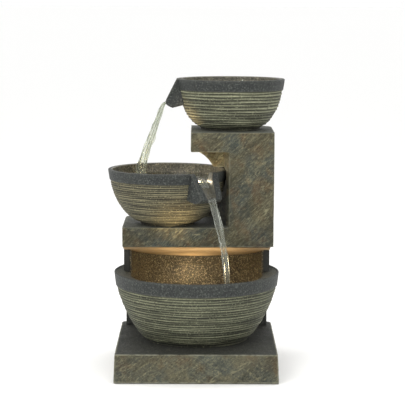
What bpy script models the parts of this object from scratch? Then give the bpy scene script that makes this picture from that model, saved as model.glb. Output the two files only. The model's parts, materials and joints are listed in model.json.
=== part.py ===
"""Three-tier bowl fountain: a pump lifts water up a slate-effect column, and it falls from bowl to bowl.

Metres, +Z up. The origin is on the ground under the middle of the plinth, and -Y is the front.
"""

import math

import bmesh
import bpy
from mathutils import Matrix, Vector

# Fits and mouldings
GAP = 0.0003  # between pieces that touch
RUN = 0.0004  # around pieces that slide or turn
WALL = 0.007  # hollow mouldings
ROUND_SIDES = 20  # small turned pieces
BOWL_SIDES = 36
CURVE_STEPS = 7  # rows up a bowl's side
BOWL_TURN = 0.6 * math.pi / BOWL_SIDES  # keeps the facets off the spout's own edges
BASIN_SIDES = 44  # the lower bowl and what fits round it
BITE = 0.001  # how far joined shapes reach into each other
PAST = 0.010  # how far a cutter runs past the face that it opens

# Plinth
PLINTH_WIDTH = 0.330
PLINTH_DEPTH = 0.336
PLINTH_HEIGHT = 0.0605
PLINTH_DRAFT = 0.002  # each side, wider at the foot
PLINTH_CORNER = 0.014  # rear corners
PLATE_THICK = 0.005
PAD_PROUD = 0.0005  # how far the pads stand below the plinth's edge
PAD_RADIUS = 0.016
PAD_THICK = 0.003
PAD_INSET = 0.026  # from the plinth's sides to the middle of a pad
POST_INSET = 0.048  # the same, to the middle of a screw post
POST_HALF = 0.007
PILOT_TOP = 0.030

# Bowls: rim radius, foot radius, height, and the height of the dark band under the rim
BOWL_CURVE = 1.6  # 2 would be an ellipse
BASIN_CURVE = 1.3
BOWL_WALL = 0.009
BAND_PROUD = 0.0015
BAND_SLOPE = 0.0045  # how far the side stands in below the band
FOOT_RING = 0.006
LOWER_RIM, LOWER_FOOT, LOWER_HEIGHT, LOWER_BAND = 0.1725, 0.112, 0.142, 0.028
MIDDLE_RIM, MIDDLE_FOOT, MIDDLE_HEIGHT, MIDDLE_BAND = 0.1255, 0.060, 0.116, 0.022
UPPER_RIM, UPPER_FOOT, UPPER_HEIGHT, UPPER_BAND = 0.1145, 0.066, 0.106, 0.023
MIDDLE_CENTRE = (-0.0610, 0.0280)
UPPER_CENTRE = (0.0700, 0.0650)
MIDDLE_SPOUT_ANGLE = math.radians(-52)  # towards the front right
UPPER_SPOUT_ANGLE = math.radians(180)  # straight to the left

# Lower bowl's inside
BASIN_INNER = 0.137
LEDGE_DROP = 0.009
BASIN_FLOOR = 0.014
BASIN_FLOOR_RADIUS = 0.088

# Spouts
SPOUT_REACH = 0.023
SPOUT_DROP = 0.046
SPOUT_DEPTH = 0.060
SPOUT_HALF = 0.034
SPOUT_TIP_HALF = 0.028
CHANNEL_DEPTH = 0.020
CHANNEL_HALF = 0.011
CHANNEL_FLARE = 0.5
CHANNEL_LIP = 0.009  # lip of the channel above the chute's underside

# Column: a C seen from the front
COLUMN_LEFT, COLUMN_RIGHT = -0.155, 0.160
COLUMN_FRONT, COLUMN_BACK = -0.035, 0.165
NOTCH_X = 0.066  # the column's left face
TOP_LEFT = -0.0135  # left end of the top slab
SHELF_BOTTOM = 0.257
SLAB_THICK = 0.041
NOTCH_HEIGHT = 0.156
REAR_CORNER = 0.030
REVEAL = 0.009  # how much the notch closes behind its front edge
REVEAL_DEPTH = 0.024
BRACKET_X = 0.0382  # rear wall of the notch, at the arch
REAR_FOOT_X = 0.010  # the same wall at the shelf
BRACKET_RADIUS = 0.0606  # arch that joins it to the top slab
BRACKET_FRONT = 0.032
BRACKET_STEPS = 10
ROOM_CLEAR = 0.0025  # round the middle bowl
COVER_BLOCK_DEPTH = 0.022

# Splash back over the lower bowl
SPLASH_HALF = 0.153
CHEEK_FRONT = 0.014
CEILING_SLOPE = 0.265
LINER_THICK = 0.0047

# Rear housing between the plinth and the splash back
HOUSING_FRONT = 0.120
SHAFT_LEFT, SHAFT_RIGHT = 0.097, 0.143  # service shaft, seen from the front
SHAFT_FRONT = 0.129
DOOR_LEFT, DOOR_RIGHT = 0.068, 0.118
DOOR_BOTTOM, DOOR_TOP = 0.096, 0.184
DOOR_REBATE = 0.005
DOOR_FLANGE = 0.003
GLAND_X, GLAND_Z = 0.100, 0.080
GLAND_RADIUS = 0.0066
GLAND_INSIDE = 0.005  # how far the gland stands into the housing

# Water circuit
PUMP_X, PUMP_Y = 0.045, 0.030  # the pump's outlet
RISER_X, RISER_Y = 0.112, 0.146
OUTLET_X, OUTLET_Y = 0.095, 0.065  # the fitting in the upper bowl
HOSE_RADIUS = 0.0070
HOSE_BORE = 0.0052
BARB = 0.0046  # radius of the hose tails
ELBOW_TUBE = 0.0058
ELBOW_BORE = 0.0031
ELBOW_RISE = 0.012  # the hose's height above the pump
LEAD_HOLE_ANGLE = math.radians(58)
LEAD_HOLE_RISE = 0.0235  # above the basin's floor

# Pump
PUMP_WIDTH, PUMP_DEPTH, PUMP_HEIGHT = 0.040, 0.030, 0.034
CUP_HEIGHT = 0.005
CHAMBER_RADIUS, CHAMBER_DEPTH = 0.0120, 0.0090
ROTOR_RADIUS, ROTOR_LENGTH = 0.0072, 0.0150
BORE_CLEAR = 0.0006
SHAFT_RADIUS = 0.0012
VOLUTE_THICK = 0.0025
COVER_DEPTH = 0.012
COVER_WALL = 0.0020
GATE_WIDTH, GATE_HEIGHT, GATE_THICK = 0.012, 0.014, 0.0016

# Lamps
LAMP_RADIUS, LAMP_HEIGHT = 0.018, 0.014
BASIN_LAMP = (-0.008, 0.058)
MIDDLE_LAMP_OUT = 0.034  # from the bowl's centre, towards its spout
LEAD_RADIUS = 0.0021

# Screws
SCREW_RADIUS = 0.0020
SCREW_HEAD = 0.0040
BOSS = 0.006  # half the width of the blocks that the cover's screws enter
SCREW_LENGTH = 0.016
PLATE_SCREW_RADIUS = 0.0014
PLATE_SCREW_LENGTH = 0.014
PLATE_SINK = 0.0028  # depth of the plate's screw sinks

# Bolt of the middle bowl, lamp seal and outlet
BOLT_RADIUS, BOLT_HEAD = 0.0025, 0.0060
BOLT_CLEAR = 0.0009
WASHER_THICK = 0.0016
LAMP_SEAL_RADIUS = 0.0042
LEAD_CLEAR = 0.0005
STEM_RADIUS = 0.0086  # the outlet fitting where it passes the slab and the bowl
STEM_CLEAR = 0.0004
PORT_CLEAR = 0.0006

# Heights that follow from the sizes above
PLINTH_TOP = PLINTH_HEIGHT
LOWER_BASE = PLINTH_TOP + GAP
LOWER_TOP = LOWER_BASE + LOWER_HEIGHT
LEDGE_Z = LOWER_TOP - LEDGE_DROP
SHELF_TOP = SHELF_BOTTOM + SLAB_THICK
TOP_SLAB_BOTTOM = SHELF_TOP + NOTCH_HEIGHT
COLUMN_TOP = TOP_SLAB_BOTTOM + SLAB_THICK
MIDDLE_BASE = SHELF_TOP + GAP
MIDDLE_TOP = MIDDLE_BASE + MIDDLE_HEIGHT
UPPER_BASE = COLUMN_TOP + GAP
SPLASH_TOP = SHELF_BOTTOM - GAP
HOUSING_TOP = LOWER_TOP - 0.008
COVER_FRONT = COLUMN_BACK - WALL
BASIN_FLOOR_Z = LOWER_BASE + BASIN_FLOOR
PUMP_BASE = BASIN_FLOOR_Z + CUP_HEIGHT + 2 * GAP
PUMP_TOP = PUMP_BASE + PUMP_HEIGHT
CROSSING_HEIGHT = PUMP_TOP + ELBOW_RISE
LEAD_HOLE_Z = BASIN_FLOOR_Z + LEAD_HOLE_RISE
MIDDLE_LAMP = (
    MIDDLE_CENTRE[0] + MIDDLE_LAMP_OUT * math.cos(MIDDLE_SPOUT_ANGLE),
    MIDDLE_CENTRE[1] + MIDDLE_LAMP_OUT * math.sin(MIDDLE_SPOUT_ANGLE),
)
FAR = 0.5  # beyond every piece, for cutters that go right through

FINISHES = {
    "slate": ((0.20, 0.19, 0.13), 0.80, 0.0),
    "charcoal": ((0.06, 0.065, 0.07), 0.75, 0.0),
    "ribbed_stone": ((0.24, 0.24, 0.17), 0.80, 0.0),
    "wet_stone": ((0.16, 0.12, 0.07), 0.45, 0.0),
    "black_plastic": ((0.02, 0.02, 0.02), 0.45, 0.0),
    "grey_plastic": ((0.30, 0.31, 0.32), 0.50, 0.0),
    "rubber": ((0.03, 0.03, 0.03), 0.85, 0.0),
    "clear_vinyl": ((0.75, 0.78, 0.76), 0.25, 0.0),
    "clear_lens": ((0.90, 0.86, 0.74), 0.10, 0.0),
    "steel": ((0.60, 0.60, 0.60), 0.30, 1.0),
    "ceramic": ((0.85, 0.83, 0.78), 0.30, 0.0),
    "magnet": ((0.10, 0.10, 0.11), 0.55, 0.0),
    "foam": ((0.05, 0.05, 0.06), 0.95, 0.0),
    "led_board": ((0.80, 0.78, 0.60), 0.50, 0.0),
}


# ---------------------------------------------------------------- modelling helpers


def finish(name):
    """The Principled material of that name, made once."""
    found = bpy.data.materials.get(name)
    if found:
        return found
    colour, roughness, metallic = FINISHES[name]
    made = bpy.data.materials.new(name)
    made.use_nodes = True
    shader = made.node_tree.nodes["Principled BSDF"]
    shader.inputs["Base Color"].default_value = (*colour, 1.0)
    shader.inputs["Roughness"].default_value = roughness
    shader.inputs["Metallic"].default_value = metallic
    return made


def add(name, bm, finish_name=None, origin=(0, 0, 0)):
    """An object from a bmesh drawn in place, with its own origin at the point given."""
    bmesh.ops.remove_doubles(bm, verts=bm.verts, dist=1e-7)
    bmesh.ops.recalc_face_normals(bm, faces=bm.faces)
    bmesh.ops.translate(bm, verts=bm.verts, vec=-Vector(origin))
    mesh = bpy.data.meshes.new(name)
    bm.to_mesh(mesh)
    bm.free()
    mesh.shade_smooth()
    mesh.set_sharp_from_angle(angle=math.radians(35))
    made = bpy.data.objects.new(name, mesh)
    made.location = origin
    bpy.context.scene.collection.objects.link(made)
    if finish_name:
        mesh.materials.append(finish(finish_name))
    else:
        made.hide_render = True
        made.display_type = "WIRE"
    return made


def loft(rings):
    """A closed solid through rings of equally many points, capped at both ends."""
    bm = bmesh.new()
    levels = [[bm.verts.new(point) for point in ring] for ring in rings]
    for below, above in zip(levels, levels[1:]):
        for i in range(len(below)):
            j = (i + 1) % len(below)
            bm.faces.new((below[i], below[j], above[j], above[i]))
    bm.faces.new(levels[0][::-1])
    bm.faces.new(levels[-1])
    return bm


def box(low, high):
    (x0, y0, z0), (x1, y1, z1) = low, high
    plan = [(x0, y0), (x1, y0), (x1, y1), (x0, y1)]
    return loft([[(x, y, z) for x, y in plan] for z in (z0, z1)])


def boxes(corner_pairs):
    """Several separate boxes in one bmesh, for one cutter."""
    bm = bmesh.new()
    for low, high in corner_pairs:
        one = bpy.data.meshes.new("box")
        piece = box(low, high)
        piece.to_mesh(one)
        piece.free()
        bm.from_mesh(one)
        bpy.data.meshes.remove(one)
    return bm


def turned(profile, centre=(0, 0), sides=ROUND_SIDES, upright=None):
    """A profile of (radius, height) spun round a vertical axis, or round the one that upright gives."""
    bm = bmesh.new()
    points = [bm.verts.new((radius, 0, height)) for radius, height in profile]
    edges = [bm.edges.new(pair) for pair in zip(points, points[1:])]
    if profile[0][0] > 0:
        edges.append(bm.edges.new((points[-1], points[0])))
    bmesh.ops.spin(
        bm,
        geom=points + edges,
        cent=(0, 0, 0),
        axis=(0, 0, 1),
        angle=2 * math.pi,
        steps=sides,
        use_merge=True,
    )
    bmesh.ops.remove_doubles(bm, verts=bm.verts, dist=1e-6)
    if upright is None:
        upright = Matrix.Translation((*centre, 0))
    bmesh.ops.transform(bm, matrix=upright, verts=bm.verts)
    return bm


def rod(radius, start, end, centre=(0, 0), sides=ROUND_SIDES, upright=None):
    profile = [(0, start), (radius, start), (radius, end), (0, end)]
    return turned(profile, centre, sides, upright)


def ring(inner, outer, start, end, centre=(0, 0), sides=ROUND_SIDES, upright=None):
    profile = [(inner, start), (outer, start), (outer, end), (inner, end)]
    return turned(profile, centre, sides, upright)


def towards(point, direction):
    """A frame whose height axis leaves point along direction."""
    turn = Vector(direction).to_track_quat("Z", "Y").to_matrix().to_4x4()
    return Matrix.Translation(point) @ turn


def combine(target, operation, *others):
    """Joins helpers to the target, or cuts them from it."""
    for other in others:
        step = target.modifiers.new(f"{operation.lower()} {other.name}", "BOOLEAN")
        step.operation = operation
        step.object = other
        step.solver = "EXACT"


def plan_outline(left, right, front, back, corner, steps=5):
    """A rectangle seen from above whose two rear corners are round."""
    points = [(left, front), (right, front)]
    for centre_x, start in ((right - corner, 0), (left + corner, math.pi / 2)):
        for i in range(steps + 1):
            a = start + i * math.pi / 2 / steps
            points.append(
                (centre_x + corner * math.cos(a), back - corner + corner * math.sin(a))
            )
    return points


def upright_block(outline, bottom, top):
    return loft([[(x, y, z) for x, y in outline] for z in (bottom, top)])


def front_prism(outline, front, back):
    """An outline of (x, z) points carried from front to back."""
    return loft([[(x, y, z) for x, z in outline] for y in (front, back)])


def smooth_route(points, count):
    """Points along a Catmull-Rom curve through the route's own points."""
    ends = [2 * points[0] - points[1], *points, 2 * points[-1] - points[-2]]
    spans = len(points) - 1
    found = []
    for i in range(count):
        at = min(i * spans / (count - 1), spans - 1e-9)
        k, t = int(at), at - int(at)
        a, b, c, d = ends[k : k + 4]
        found.append(
            0.5
            * (
                2 * b
                + (c - a) * t
                + (2 * a - 5 * b + 4 * c - d) * t * t
                + (3 * b - a - 3 * c + d) * t * t * t
            )
        )
    return found


def hose(route, count, sides=10):
    """A tube with a bore, along a smooth route."""
    path = smooth_route([Vector(p) for p in route], count)
    bm = bmesh.new()
    outer, inner = [], []
    side = Vector((1, 0, 0))
    for i, point in enumerate(path):
        ahead = (path[min(i + 1, count - 1)] - path[max(i - 1, 0)]).normalized()
        side = (side - ahead * side.dot(ahead)).normalized()
        up = ahead.cross(side)
        for radius, rings in ((HOSE_RADIUS, outer), (HOSE_BORE, inner)):
            turn = [2 * math.pi * k / sides for k in range(sides)]
            rings.append(
                [
                    bm.verts.new(point + radius * (math.cos(a) * side + math.sin(a) * up))
                    for a in turn
                ]
            )
    for k in range(sides):
        n = (k + 1) % sides
        for rings in (outer, inner):
            for one, two in zip(rings, rings[1:]):
                bm.faces.new((one[k], one[n], two[n], two[k]))
        for end in (0, -1):
            bm.faces.new((outer[end][k], outer[end][n], inner[end][n], inner[end][k]))
    return bm


def lead(name, route, count):
    """A round cable along a smooth route."""
    curve = bpy.data.curves.new(name, "CURVE")
    curve.dimensions = "3D"
    curve.bevel_depth = LEAD_RADIUS
    curve.bevel_resolution = 2
    curve.use_fill_caps = True
    path = smooth_route([Vector(p) for p in route], count)
    spline = curve.splines.new("POLY")
    spline.points.add(count - 1)
    for point, place in zip(spline.points, path):
        point.co = (*place, 1)
    curve.materials.append(finish("black_plastic"))
    made = bpy.data.objects.new(name, curve)
    bpy.context.scene.collection.objects.link(made)
    return made


def nut(name, bore, outer, height, base, finish_name):
    """A six-sided nut: bore is the radius of the round thing it must clear."""
    hexagon = 1 / math.cos(math.pi / 6)
    profile = [(bore * hexagon, 0), (outer, 0), (outer, height), (bore * hexagon, height)]
    return add(name, turned(profile, sides=6, upright=Matrix.Translation(base)), finish_name)


def screw(name, point, direction, length=SCREW_LENGTH, radius=SCREW_RADIUS):
    """A pan-head screw whose head sits on point and whose shank runs against direction."""
    head = radius * SCREW_HEAD / SCREW_RADIUS
    profile = [
        (0, -length),
        (radius, -length + radius * 2),
        (radius, GAP),
        (head, GAP),
        (head, head * 0.45),
        (head * 0.6, head * 0.75),
        (0, head * 0.75),
    ]
    return add(name, turned(profile, sides=8, upright=towards(point, direction)), "steel")


# ---------------------------------------------------------------- bowls


def bowl_curve(foot, rim, low, high, curve=BOWL_CURVE):
    """Points up a bowl's side, from its foot to its rim."""
    found = []
    for i in range(CURVE_STEPS + 1):
        turn = i * math.pi / 2 / CURVE_STEPS
        drop = max(0.0, math.cos(turn)) ** (2 / curve)
        side = math.sin(turn) ** (2 / curve)
        found.append((foot + (rim - foot) * side, high - (high - low) * drop))
    return found


def bowl_outside(rim, foot, base, top, band, grow=0.0, curve=BOWL_CURVE):
    """The outer profile, from the middle of the foot to the rim; grow makes it larger all round."""
    body_top = top - band
    side = bowl_curve(foot, rim - BAND_SLOPE, base + FOOT_RING, body_top, curve)
    profile = [(0, base), (foot - 0.004, base), (foot - 0.004, base + FOOT_RING)]
    profile += side[1:]
    profile += [(rim - BAND_SLOPE + BAND_PROUD, body_top), (rim, top - 0.002), (rim - 0.002, top)]
    return [(radius + (grow if radius else 0), height) for radius, height in profile]


def bowl_inside(rim, foot, base, top, floor):
    """The inner profile as a solid to cut away, open above the rim."""
    side = bowl_curve(foot, rim, base + floor, top - 0.004)
    return [(0, base + floor), *side, (rim, top + 0.02), (0, top + 0.02)]


def radius_at(profile, height):
    """The radius of a rising profile at a height."""
    for (low_radius, low), (high_radius, high) in zip(profile, profile[1:]):
        if low <= height <= high and high > low:
            return low_radius + (high_radius - low_radius) * (height - low) / (high - low)
    return profile[-1][0]


def reach_of(start, along, radius):
    """How far a level line runs from start before it is that far from the bowl's axis."""
    near = start.x * along.x + start.y * along.y
    return -near + math.sqrt(near**2 + radius**2 - start.x**2 - start.y**2)


def spout_frame(centre, angle):
    """Local X runs out along the spout, local Z is up."""
    return Matrix.Translation((*centre, 0)) @ Matrix.Rotation(angle, 4, "Z")


def chute_solid(rim, top, frame):
    """The chute's body, which reaches back into the bowl until the inside is cut."""
    outline = [
        (rim * 0.55, top),
        (rim, top),
        (rim + SPOUT_REACH, top - SPOUT_DROP),
        (rim + SPOUT_REACH - 0.001, top - SPOUT_DROP - 0.007),
        (rim + SPOUT_REACH - 0.007, top - SPOUT_DEPTH + 0.003),
        (rim + SPOUT_REACH - 0.015, top - SPOUT_DEPTH),
        (rim, top - SPOUT_DEPTH + 0.002),
        (rim * 0.55, top - SPOUT_DEPTH + 0.014),
    ]
    narrowing = (SPOUT_HALF - SPOUT_TIP_HALF) / SPOUT_REACH

    def half(out):
        return SPOUT_HALF - max(0.0, out - rim) * narrowing

    bm = loft([[(u, side * half(u), z) for u, z in outline] for side in (1, -1)])
    bmesh.ops.transform(bm, matrix=frame, verts=bm.verts)
    return bm


def channel_cutter(rim, top, frame):
    """The water's way through the rim and down the chute, narrower at its floor."""
    lip_out = rim + SPOUT_REACH
    lip_z = top - SPOUT_DEPTH + CHANNEL_LIP
    break_out = rim - 0.008
    break_z = top - CHANNEL_DEPTH
    slope = (break_z - lip_z) / (lip_out - break_out)
    beyond = 0.014
    rings = []
    for out, floor in (
        (rim - 0.030, break_z),
        (break_out, break_z),
        (lip_out + beyond, lip_z - slope * beyond),
    ):
        above = top + 0.010
        low, wide = CHANNEL_HALF, CHANNEL_HALF + CHANNEL_FLARE * (above - floor)
        if out > rim:
            wide = CHANNEL_HALF + CHANNEL_FLARE * 0.45 * (above - floor)
        rings.append([(out, -low, floor), (out, low, floor), (out, wide, above), (out, -wide, above)])
    bm = loft(rings)
    bmesh.ops.transform(bm, matrix=frame, verts=bm.verts)
    return bm


def spouted_bowl(name, rim, foot, height, band, base, centre, angle):
    top = base + height
    stand = Matrix.Translation((*centre, 0)) @ Matrix.Rotation(angle + BOWL_TURN, 4, "Z")
    outside = [*bowl_outside(rim, foot, base, top, band), (0, top)]
    bowl = add(name, turned(outside, sides=BOWL_SIDES, upright=stand), "ribbed_stone")
    frame = spout_frame(centre, angle)
    chute = add(f"{name} chute", chute_solid(rim, top - GAP, frame))
    inside = bowl_inside(rim - BOWL_WALL, foot - 0.004, base, top, BOWL_WALL)
    hollow = add(f"{name} inside", turned(inside, sides=BOWL_SIDES, upright=stand))
    channel = add(f"{name} channel", channel_cutter(rim, top, frame))
    combine(bowl, "UNION", chute)
    combine(bowl, "DIFFERENCE", hollow, channel)
    return bowl


def lower_bowl_outside(grow=0.0):
    return bowl_outside(
        LOWER_RIM, LOWER_FOOT, LOWER_BASE, LOWER_TOP, LOWER_BAND, grow, BASIN_CURVE
    )


def basin_side():
    """The basin's inner side, from its floor to the ledge."""
    return bowl_curve(BASIN_FLOOR_RADIUS, BASIN_INNER, BASIN_FLOOR_Z, LEDGE_Z, BASIN_CURVE)


def make_lower_bowl():
    bowl = add(
        "lower_bowl",
        turned([*lower_bowl_outside(), (0, LOWER_TOP)], sides=BASIN_SIDES),
        "ribbed_stone",
    )
    inside = [
        (0, BASIN_FLOOR_Z),
        *basin_side(),
        (LOWER_RIM - 0.005, LOWER_TOP),
        (LOWER_RIM - 0.005, LOWER_TOP + 0.02),
        (0, LOWER_TOP + 0.02),
    ]
    hollow = add("basin inside", turned(inside, sides=BASIN_SIDES))
    back = add("basin back", box((-FAR, COVER_FRONT - GAP, 0), (FAR, FAR, FAR)))
    combine(bowl, "DIFFERENCE", hollow, back)
    return bowl


# ---------------------------------------------------------------- plinth


def plinth_plan(inset):
    half, deep = PLINTH_WIDTH / 2 - inset, PLINTH_DEPTH / 2 - inset
    return plan_outline(-half, half, -deep, deep, PLINTH_CORNER)


def corner_points(inset):
    half, deep = PLINTH_WIDTH / 2 - inset, PLINTH_DEPTH / 2 - inset
    return [(x, y) for x in (-half, half) for y in (-deep, deep)]


def make_plinth():
    rings = [
        [(x, y, PAD_PROUD) for x, y in plinth_plan(-PLINTH_DRAFT)],
        [(x, y, PLINTH_TOP) for x, y in plinth_plan(0)],
    ]
    plinth = add("base_plinth", loft(rings), "slate")
    cavity = [
        [(x, y, -PAST) for x, y in plinth_plan(WALL)],
        [(x, y, PLINTH_TOP - WALL) for x, y in plinth_plan(WALL)],
    ]
    hollow = add("plinth cavity", loft(cavity))
    posts = boxes(
        [
            (
                (x - POST_HALF, y - POST_HALF, PLATE_THICK + PAD_PROUD + GAP),
                (x + POST_HALF, y + POST_HALF, PLINTH_TOP - WALL / 2),
            )
            for x, y in corner_points(POST_INSET)
        ]
    )
    pilots = [
        add(f"plinth pilot {i}", rod(PLATE_SCREW_RADIUS + GAP, 0, PILOT_TOP, point, 12))
        for i, point in enumerate(corner_points(POST_INSET))
    ]
    combine(plinth, "DIFFERENCE", hollow)
    combine(plinth, "UNION", add("plinth posts", posts))
    combine(plinth, "DIFFERENCE", *pilots)

    plate_plan = plinth_plan(WALL + 0.0005)
    plate = add(
        "base_plate",
        upright_block(plate_plan, PAD_PROUD, PAD_PROUD + PLATE_THICK),
        "black_plastic",
    )
    for i, point in enumerate(corner_points(PAD_INSET)):
        add(f"corner_pad_{i + 1}", rod(PAD_RADIUS, 0, PAD_THICK, point, 24), "rubber")
        recess = add(f"pad recess {i}", rod(PAD_RADIUS + GAP, -PAST, PAD_THICK + GAP, point, 24))
        combine(plate, "DIFFERENCE", recess)
    sink = PAD_PROUD + PLATE_SINK
    for i, (x, y) in enumerate(corner_points(POST_INSET)):
        through = add(f"plate hole {i}", rod(PLATE_SCREW_RADIUS + GAP, -PAST, 2 * PAST, (x, y), 12))
        head = add(f"plate sink {i}", rod(2 * PLATE_SCREW_RADIUS + 2 * GAP, -PAST, sink, (x, y), 12))
        combine(plate, "DIFFERENCE", through, head)
        screw(f"plate_screw_{i + 1}", (x, y, sink), (0, 0, -1), PLATE_SCREW_LENGTH, PLATE_SCREW_RADIUS)


# ---------------------------------------------------------------- splash back and rear housing


def ceiling_z(y):
    """The sloping underside of the splash back, lower towards the back."""
    return SHELF_BOTTOM - CEILING_SLOPE * (y - COLUMN_FRONT)


def niche_cutter(radius):
    circle = [
        (radius * math.cos(a), radius * math.sin(a))
        for a in (2 * math.pi * i / BASIN_SIDES for i in range(BASIN_SIDES))
    ]
    return loft(
        [
            [(x, y, LEDGE_Z - 0.03) for x, y in circle],
            [(x, y, ceiling_z(y)) for x, y in circle],
        ]
    )


def make_splash_back():
    outline = plan_outline(-SPLASH_HALF, SPLASH_HALF, COLUMN_FRONT + 0.001, COLUMN_BACK, REAR_CORNER)
    block = add("splash_back", upright_block(outline, HOUSING_TOP + GAP, SPLASH_TOP), "charcoal")
    profile = [
        (COLUMN_FRONT - 0.02, 0.1),
        (CHEEK_FRONT, 0.1),
        (CHEEK_FRONT, ceiling_z(CHEEK_FRONT)),
        (COLUMN_FRONT - 0.02, ceiling_z(COLUMN_FRONT - 0.02)),
    ]
    undercut = add("splash undercut", loft([[(x, y, z) for y, z in profile] for x in (FAR, -FAR)]))
    niche = add("niche", niche_cutter(BASIN_INNER + LINER_THICK + 2 * GAP))
    seat = [
        (0, 0.15),
        (LOWER_RIM + 0.001, 0.15),
        (LOWER_RIM + 0.001, LOWER_TOP + GAP),
        (LOWER_RIM - 0.005, LOWER_TOP + GAP),
        (BASIN_INNER - 0.004, LEDGE_Z + GAP),
        (0, LEDGE_Z + GAP),
    ]
    rim_seat = add("rim seat", turned(seat, sides=BASIN_SIDES))
    shaft = add("splash shaft", box((SHAFT_LEFT, SHAFT_FRONT, 0.1), (SHAFT_RIGHT, COVER_FRONT, 0.3)))
    combine(block, "DIFFERENCE", undercut, niche, rim_seat, shaft)

    reach = math.acos((CHEEK_FRONT + 0.001) / BASIN_INNER)
    turns = [math.pi / 2 - reach + 2 * reach * i / 40 for i in range(41)]
    plan = [(BASIN_INNER + GAP, a) for a in turns]
    plan += [(BASIN_INNER + LINER_THICK, a) for a in reversed(turns)]
    plan = [(radius * math.cos(a), radius * math.sin(a)) for radius, a in plan]
    ledge_rise = LEDGE_DROP / (LOWER_RIM - 0.005 - BASIN_INNER)
    foot = LEDGE_Z + ledge_rise * LINER_THICK + 2 * GAP
    add(
        "splash_liner",
        loft(
            [
                [(x, y, foot) for x, y in plan],
                [(x, y, ceiling_z(y) - 2 * GAP) for x, y in plan],
            ]
        ),
        "wet_stone",
    )


def make_rear_housing():
    outline = plan_outline(-SPLASH_HALF, SPLASH_HALF, HOUSING_FRONT, COLUMN_BACK, REAR_CORNER)
    housing = add("rear_housing", upright_block(outline, PLINTH_TOP + GAP, HOUSING_TOP), "charcoal")
    seat = add("bowl seat", turned([*lower_bowl_outside(grow=0.0006), (0, LOWER_TOP)], sides=BASIN_SIDES))
    trim = add("bowl seat trim", box((-FAR, COVER_FRONT, 0), (FAR, FAR, FAR)))
    combine(seat, "DIFFERENCE", trim)
    inner = plan_outline(
        -SPLASH_HALF + WALL,
        SPLASH_HALF - WALL,
        HOUSING_FRONT + WALL,
        COVER_FRONT,
        REAR_CORNER - WALL,
    )
    cavity = add("housing cavity", upright_block(inner, PLINTH_TOP + WALL, HOUSING_TOP + 0.01))
    plug = box(
        (DOOR_LEFT, COVER_FRONT - 0.01, DOOR_BOTTOM),
        (DOOR_RIGHT, COLUMN_BACK + 0.01, DOOR_TOP),
    )
    rebate = box(
        (DOOR_LEFT - DOOR_REBATE, COLUMN_BACK - DOOR_FLANGE - GAP, DOOR_BOTTOM - DOOR_REBATE),
        (DOOR_RIGHT + DOOR_REBATE, COLUMN_BACK + 0.01, DOOR_TOP + DOOR_REBATE),
    )
    gland_hole = rod(
        GLAND_RADIUS + GAP, -0.01, 0.02, upright=towards((GLAND_X, COVER_FRONT, GLAND_Z), (0, 1, 0))
    )
    combine(
        housing,
        "DIFFERENCE",
        seat,
        cavity,
        add("door opening", plug),
        add("door rebate", rebate),
        add("gland hole", gland_hole),
    )

    flange = box(
        (DOOR_LEFT - DOOR_REBATE + RUN, COLUMN_BACK - DOOR_FLANGE, DOOR_BOTTOM - DOOR_REBATE + RUN),
        (DOOR_RIGHT + DOOR_REBATE - RUN, COLUMN_BACK, DOOR_TOP + DOOR_REBATE - RUN),
    )
    origin = ((DOOR_LEFT + DOOR_RIGHT) / 2, COLUMN_BACK, (DOOR_BOTTOM + DOOR_TOP) / 2)
    door = add("access_door", flange, "charcoal", origin)
    inner_frame = add(
        "door plug",
        box(
            (DOOR_LEFT + RUN, COVER_FRONT, DOOR_BOTTOM + RUN),
            (DOOR_RIGHT - RUN, COLUMN_BACK - 0.001, DOOR_TOP - RUN),
        ),
    )
    hollow = add(
        "door hollow",
        box(
            (DOOR_LEFT + 0.004, COVER_FRONT - 0.01, DOOR_BOTTOM + 0.004),
            (DOOR_RIGHT - 0.004, COLUMN_BACK - DOOR_FLANGE, DOOR_TOP - 0.004),
        ),
    )
    grip_profile = [(0, -0.001), (0.007, -0.001), (0.006, 0.006), (0.009, 0.009), (0.009, 0.012), (0, 0.013)]
    grip = add("door grip", turned(grip_profile, upright=towards(origin, (0, 1, 0))))
    combine(door, "UNION", inner_frame)
    combine(door, "DIFFERENCE", hollow)
    combine(door, "UNION", grip)
    return housing


# ---------------------------------------------------------------- column


def column_outline():
    """The C seen from the front, as (x, z) points."""
    return [
        (COLUMN_LEFT, SHELF_BOTTOM),
        (COLUMN_RIGHT, SHELF_BOTTOM),
        (COLUMN_RIGHT, COLUMN_TOP),
        (TOP_LEFT, COLUMN_TOP),
        (TOP_LEFT, TOP_SLAB_BOTTOM),
        (NOTCH_X, TOP_SLAB_BOTTOM),
        (NOTCH_X, SHELF_TOP),
        (COLUMN_LEFT, SHELF_TOP),
    ]


def column_plan(inset, corner):
    return plan_outline(
        COLUMN_LEFT + inset, COLUMN_RIGHT - inset, COLUMN_FRONT + inset, COLUMN_BACK - inset, corner
    )


def bracket_outline():
    """Rear wall of the notch, leaning out towards the shelf, with the arch that joins it to the top slab."""
    centre_x, centre_z = BRACKET_X - BRACKET_RADIUS, TOP_SLAB_BOTTOM - BRACKET_RADIUS
    start = max(centre_x, TOP_LEFT + BITE)
    first = math.acos((start - centre_x) / BRACKET_RADIUS)
    top, right = TOP_SLAB_BOTTOM + 3 * BITE, NOTCH_X + 2 * BITE
    points = [(right, top), (start, top)]
    for i in range(BRACKET_STEPS + 1):
        a = first * (1 - i / BRACKET_STEPS)
        points.append((centre_x + BRACKET_RADIUS * math.cos(a), centre_z + BRACKET_RADIUS * math.sin(a)))
    return points + [(REAR_FOOT_X, SHELF_TOP - BITE), (right, SHELF_TOP - BITE)]


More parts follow.
